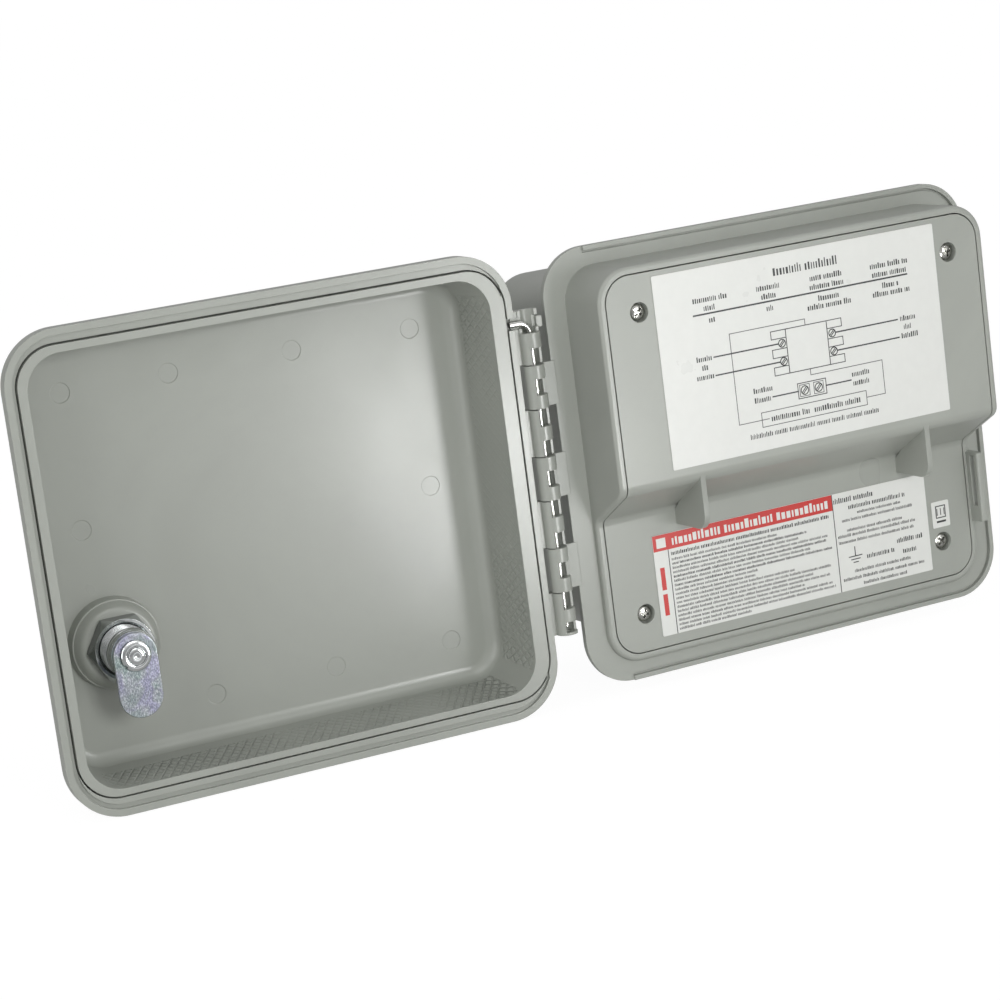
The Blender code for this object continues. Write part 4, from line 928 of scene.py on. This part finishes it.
# ---------------------------------------------------------------- door
def door_piece():
    x, z = (DOOR_HINGE_X, DOOR_FREE_X), both(DOOR_Z)
    door = block("lid", x, (RIM - DOOR_FLANGE_T, RIM), z, corner=DOOR_R, front=1.2, seg=18)
    pan = (x[0] + PAN_IN, x[1] - PAN_IN), (RIM - DOOR_D, RIM - 3.0), both(DOOR_Z - PAN_IN)
    join(door, block("pan", *pan, corner=DOOR_R - 4.0, draft=2.0, front=4.5, soft=8, seg=16))
    shape = {"corner": RECESS_R, "draft": RECESS_DRAFT, "front": RECESS_FILLET, "soft": 8, "seg": 16}
    cut(door, block("recess", RECESS_X, (RIM - RECESS_D, RIM + 4), RECESS_Z, **shape))
    step = block("step", CHANNEL_X, (RIM - CHANNEL_D, RIM + 1), CHANNEL_Z, corner=CHANNEL_R, seg=18)
    across_rim = (RIM - 5, RIM + 5)
    cut(
        step,
        block("step_in", CHANNEL_IN_X, across_rim, CHANNEL_IN_Z, corner=CHANNEL_R - 2.0, seg=18),
        block("step_end", (-110, -90.6), across_rim, both(100)),
    )
    groove = ring("groove", GROOVE_X, GROOVE_Z, GROOVE_R, GROOVE_W, 0, (RIM - GROOVE_D, RIM + 1), 18)
    cut(door, step, groove)

    floor = RIM - RECESS_D
    profile = [(8.0, floor - 1), (16.9, floor - 1), (16.75, floor + 0.6), (16.4, RIM - 27.9)]
    profile += [(16.2, RIM - 27.6), (15.85, RIM - 27.55), (15.1, RIM - 26.0), (14.4, RIM - 24.7)]
    profile += [(13.6, RIM - 23.8), (12.6, RIM - 23.4), (8.0, RIM - 23.4)]
    join(door, turned("boss", LOCK, profile, seg=72))
    marks = [(at_x, at_z) for at_x in MARK_X for at_z in MARK_Z]
    marks += [(67, MARK_Z[0]), (67, 10), (MARK_X[0], 0.3)]
    cut(
        door,
        rod("lock_hole", LOCK, LOCK_R + 0.5, (RIM - 60, RIM - 10)),
        *(rod("mark", mark, MARK_R, (floor - MARK_D, floor + 2), seg=40) for mark in marks),
        block("pin_notch", (DOOR_HINGE_X - 1, DOOR_HINGE_X + 3.0), (RIM - 2.4, RIM + 2), NOTCH_Z),
    )

    leaf = ((AXIS_X + 2.0, DOOR_HINGE_X + 1.0), (RIM - 4.2, RIM - 0.6))
    sight = (AXIS_X - 4.4, AXIS_X + 1.7), (AXIS_Y - 0.1, AXIS_Y + 6)
    windows = [(43.1, 49.3), (20.3, 26.7), (9.1, 15.2), (-13.5, -7.4), (-25.2, -19.3)]
    windows += [(-48.4, -42.0), (-57.2, -53.2)]
    knuckles = []
    for high, low in zip(KNUCKLES[1::2], KNUCKLES[2::2]):
        knuckle = barrel("door_knuckle", (low, high), leaf)
        for foot, top in windows:
            if foot >= low and top <= high:
                reach = (foot - 0.5 * (foot == low), top + 0.5 * (top == high))
                cut(knuckle, block("sight", *sight, reach), hinge_rod("hollow", HOLLOW_R, reach))
        knuckles.append(knuckle)
    top, foot = KNUCKLES[:2]
    trough_z, cradle_z = (foot - 0.9, top), (foot, 70)
    trough = hinge_rod("trough", BARREL_R, trough_z, seg=40)
    cut(
        trough,
        hinge_rod("cradle", CRADLE_R, cradle_z),
        hinge_rod("trough_low", BORE_R, (50, 60), seg=24),
        block("trough_front", (AXIS_X - 6, AXIS_X + 6), (AXIS_Y, AXIS_Y + 6), cradle_z),
    )
    join(trough, block("trough_leaf", *leaf, trough_z))
    cut(
        trough,
        hinge_rod("cradle", CRADLE_R, cradle_z),
        block("trough_side", (AXIS_X - 6, AXIS_X + 12), (AXIS_Y - 1.6, AXIS_Y + 6), NOTCH_Z),
    )
    join(trough, block("tab", (AXIS_X - 5.6, AXIS_X - 3.4), (AXIS_Y - 2.2, AXIS_Y - 0.2), (56.3, 60.2)))
    join(door, *knuckles, trough)
    finish(door, "door_plastic", "door", "door", soften=0.2)


def door_fittings():
    # The gasket's dark grey is painted shade for the deep, narrow groove it sits in.
    gasket_y = (RIM - GROOVE_D + 0.25, RIM - 1.9)
    gasket = ring("gasket", GROOVE_X, GROOVE_Z, GROOVE_R, GROOVE_W - 0.06, 0.06, gasket_y, 18)
    finish(gasket, "gasket", "door", "door_gasket", soften=0.08)
    bend_z, bend_r = 54.6, 4.0
    turns = [math.pi / 2 * i / 12 for i in range(13)]
    bend = [(AXIS_X + bend_r * (1 - math.cos(a)), AXIS_Y, bend_z + bend_r * math.sin(a)) for a in turns]
    tip = (DOOR_HINGE_X + 2.2, AXIS_Y, bend_z + bend_r)
    pin = swept("pin", [(AXIS_X, AXIS_Y, -55.4), *bend, tip], PIN_R, 6)
    finish(pin, "steel", "door", "hinge_pin", soften=0.2)


def lock_pieces():
    outside, thread, end = RIM - DOOR_D - 0.3, RIM - 24.0, RIM - 8.4
    profile = [(6.3, outside - 2.6), (9.6, outside - 2.6), (10.8, outside - 2.1), (11.6, outside - 1.1)]
    profile += [(11.8, outside), (LOCK_R, outside), (LOCK_R, thread)]
    y = thread
    while y + 1.0 < end - 0.8:
        profile += [(LOCK_R, y + 0.2), (LOCK_R - 0.5, y + 0.5), (LOCK_R, y + 0.8)]
        y += 1.0
    profile += [(LOCK_R, end - 0.6), (LOCK_R - 0.5, end), (6.3, end)]
    finish(turned("lock_barrel", LOCK, profile, seg=72), "chrome", "door", "lock_body")

    nut = rod("nut", LOCK, NUT_FLATS / math.sqrt(3), (RIM - 23.1, RIM - 16.9), seg=6, spin=math.pi / 6)
    common(
        nut,
        rod("crown", LOCK, 14.8, (thread, RIM - 14.2), seg=96, radius2=9.5),
        rod("crown_back", LOCK, 11.6, (RIM - 23.4, RIM - 12.0), seg=96, radius2=22.0),
    )
    bore_r, chamfer_r, far = LOCK_R + 0.35, LOCK_R + 1.3, RIM - 5
    bore = [(0, RIM - 30), (bore_r, RIM - 30), (bore_r, RIM - 17.5), (chamfer_r, RIM - 16.5)]
    bore += [(chamfer_r, far), (0, far)]
    cut(nut, turned("nut_bore", LOCK, bore, seg=64))
    finish(nut, "chrome", "door", "lock_nut", soften=0.18, angle=20)

    plug = rod("plug", LOCK, 5.9, (outside - 2.9, RIM - 8.7))
    join(plug, rod("stem", LOCK, STEM_R, (RIM - 10, RIM - CAM_BACK + 1.5), seg=32))
    cut(
        plug,
        block("keyway", (LOCK_X - 0.9, LOCK_X + 0.9), (outside - 5, outside + 14), (LOCK_Z - 4, LOCK_Z + 4)),
        rod("plug_bore", LOCK, 1.8, (RIM - 18, RIM), seg=24),
    )
    finish(plug, "zinc", "lock", "lock_plug", soften=0.15)

    hole_r = STEM_R + 0.3
    front, back = RIM - 8.1, RIM - CAM_BACK - 0.25
    middle = (front + back) / 2
    profile = [(hole_r, front), (8.6, front), (8.9, front + 0.25), (8.6, middle), (8.1, middle)]
    profile += [(8.5, middle + 0.3), (8.2, back), (hole_r, back)]
    finish(turned("washer", LOCK, profile, seg=72), "chrome", "lock", "lock_washer")

    cam_y = (RIM - CAM_BACK, RIM - CAM_BACK + CAM_T)
    half = CAM_W / 2
    outline = arc(LOCK, half, 0, 180, 36) + arc((LOCK_X, LOCK_Z - CAM_REACH + half), half, 180, 360, 36)
    cam = extruded("cam", outline, cam_y, axis="Y")
    cut(cam, rod("cam_hole", LOCK, hole_r, (RIM - 12, RIM)))
    finish(cam, "zinc", "lock", "lock_cam", soften=0.28)

    seat = cam_y[1] + 0.2
    rings = [(0.0, -8.0), (1.4, -8.0), (1.4, 0.0), (5.6, 0.0), (5.65, 0.35), (5.35, 0.85), (4.7, 1.2)]
    rings += [(3.9, 1.28), (3.45, 1.1), (3.3, 0.7), (3.0, 0.7), (2.9, 1.2), (2.5, 1.5), (1.9, 1.62)]
    rings += [(1.1, 1.6), (0.7, 1.3), (0.0, 1.2)]
    bolt = turned("cam_bolt", LOCK, [(radius, seat + rise) for radius, rise in rings], seg=64)
    notches = []
    for turn in (35, 215):
        notch = block("notch", (5.0, 6.2), (seat - 0.1, seat + 1.4), both(0.7))
        notch.data.transform(about(LOCK, turn))
        notches.append(notch)
    cut(bolt, *notches)
    finish(bolt, "chrome", "lock", "cam_screw", soften=0.08)


def return_springs():
    """Fine closed-end springs behind the contact carrier."""
    wire, turns, steps = 0.4, 6, 216
    for name in ("return_spring_1", "return_spring_2"):
        low, high = node_box(name)
        length = high.y - low.y
        middle, radius = (low + high) / 2, (high.x - low.x) / 2 - wire
        path = []
        for i in range(steps + 1):
            share, angle = i / steps, math.tau * turns * i / steps
            eased = 0.55 * share + 0.45 * share * share * (3 - 2 * share)
            y = high.y - wire + (2 * wire - length) * eased
            path.append((middle.x + radius * math.cos(angle), y, middle.z + radius * math.sin(angle)))
        made = swept(name + "_fine", path, wire, 3)
        finish(made, "steel", "enclosure", name)
        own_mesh(made)


# ---------------------------------------------------------------- pieces kept from the frame
def dress_frame_nodes():
    slots = {entry["node"]: entry["material_slot"] for entry in frame["record"]["subparts"]}
    for name, node in NODES.items():
        if node.hide_render:
            continue
        paint(node, "winding" if name == "coil_winding" else slots[name], 35)
        if "lead" not in name:
            soft_edges(node, 0.12, 40)


# ---------------------------------------------------------------- stage, light and camera
SKY = 0.62
FLOOR_GLOW = 0.9


def aimed(name, data, place, aim):
    """An object that faces a point and stays out of the camera's sight."""
    made = placed(name, data)
    made.location = place
    made.rotation_euler = (Vector(place) - Vector(aim)).to_track_quat("Z", "Y").to_euler()
    made.visible_camera = False
    return made


def emitter(name, size, place, aim, strength):
    """A soft panel that only shows in reflections."""
    mesh = bpy.data.meshes.new(name)
    w, h = size[0] / 2, size[1] / 2
    mesh.from_pydata([(-w, -h, 0), (w, -h, 0), (w, h, 0), (-w, h, 0)], [], [(0, 1, 2, 3)])
    n = material(name + "_glow", clear=True)
    light = n.add("Emission", {"Strength": strength}).outputs[0]
    n.add("OutputMaterial", {"Surface": light})
    mesh.materials.append(n.owner)
    made = aimed(name, mesh, place, aim)
    made.visible_diffuse = False
    made.visible_shadow = False


def area_light(name, size, place, aim, power):
    light = bpy.data.lights.new(name, "AREA")
    light.shape = "RECTANGLE"
    light.size, light.size_y = size
    light.energy = power
    aimed(name, light, place, aim).visible_glossy = False


def floor():
    """A wide pale floor that glows towards the camera, so that it stays plain."""
    bm = bmesh.new()
    bmesh.ops.create_grid(bm, x_segments=2, y_segments=2, size=40000)
    made = as_object("floor", bm)
    made.location.z = cad_box[0].z - 0.0004
    n = material("floor_look")
    base = n.ramp(n.noise(3.0), (0.3, (0.90, 0.90, 0.90)), (0.7, (0.93, 0.93, 0.93)))
    made.data.materials.append(n.set(base, 0.8, n.bump(n.noise(300.0), 0.03, 0.0002)))
    seen = n.times(n.add("LightPath").outputs["Is Camera Ray"], FLOOR_GLOW)
    glow = n.add("Emission", {"Color": (1, 1, 1), "Strength": 1.06}).outputs[0]
    surface = n.mix_shaders(seen, n.tree.nodes["Principled BSDF"].outputs[0], glow)
    n.link(surface, n.tree.nodes["Material Output"].inputs["Surface"])
    made.visible_glossy = False


def studio():
    """White behind the object, soft light on it, and a graded grey where it reflects its surroundings."""
    scene = bpy.context.scene
    scene.world = scene.world or bpy.data.worlds.new("studio")
    n = Nodes(scene.world, clear=True)
    rays = n.add("LightPath").outputs
    height = n.remap(n.split(n.places["Generated"])["Z"], -1.0, 1.0, 0.0, 1.0)
    tones = ((0.0, 0.40), (0.38, 0.42), (0.5, 0.30), (0.9, 0.95))
    greys = n.ramp(height, *((place, (tone, tone, tone)) for place, tone in tones))
    soft = n.add("Background", {"Strength": SKY}).outputs[0]
    shiny = n.add("Background", {"Color": greys, "Strength": 0.9}).outputs[0]
    seen = n.add("Background", {"Color": (1, 1, 1), "Strength": 1.05}).outputs[0]
    lit = n.mix_shaders(rays["Is Glossy Ray"], soft, shiny)
    n.add("OutputWorld", {"Surface": n.mix_shaders(rays["Is Camera Ray"], lit, seen)})


def lights():
    middle = (-0.1, -0.09, 0.0)
    area_light("key", (0.34, 0.34), (-0.22, -1.5, 0.26), middle, 8.0)
    area_light("fill", (1.2, 1.0), (-1.5, -0.7, 0.35), middle, 5.4)
    area_light("fill_right", (1.0, 1.0), (1.4, -0.8, 0.3), middle, 2.6)
    emitter("panel_near", (0.035, 0.13), (-0.014, -0.36, -0.060), (-0.13, -0.05, 0.0), 42.0)
    emitter("panel_lock", (0.05, 0.05), (-0.19, -0.394, -0.134), (-0.263, -0.062, -0.05), 1.3)
    emitter("panel_right", (0.27, 0.66), (0.33, -1.05, 0.08), (-0.1, -0.08, 0.0), 6.0)
    emitter("panel_top", (1.0, 0.5), (-0.3, -0.7, 1.1), (-0.1, -0.08, 0.0), 3.0)
    emitter("panel_left", (0.25, 1.2), (-1.4, -0.5, 0.3), (-0.2, -0.08, 0.0), 5.0)


def camera():
    azimuth, elevation, roll = 0.4358, 0.1905, -0.1297
    distance = 1060.189 * MM
    target = Vector((-120.044, MATE, -3.539)) * MM
    level = math.cos(elevation)
    back = Vector((-math.sin(azimuth) * level, -math.cos(azimuth) * level, math.sin(elevation)))
    right = (-back).cross(Vector((0, 0, 1))).normalized()
    up = right.cross(-back)
    lean, rise = math.sin(roll), math.cos(roll)
    right, up = right * rise + up * lean, up * rise - right * lean
    lens = bpy.data.cameras.new("camera")
    lens.lens = 105.022
    lens.sensor_width = 36.0
    lens.clip_end = 100.0
    holder = placed("camera", lens)
    place = Matrix.Translation(target + back * distance)
    holder.matrix_world = place @ Matrix((right, up, back)).transposed().to_4x4()
    bpy.context.scene.camera = holder


box_piece()
cover_piece()
cover_screws()
diagram_label()
rating_label()
symbol_label()
door_piece()
door_fittings()
lock_pieces()
return_springs()
dress_frame_nodes()
floor()
studio()
lights()
camera()
bpy.context.scene.view_settings.view_transform = "Standard"
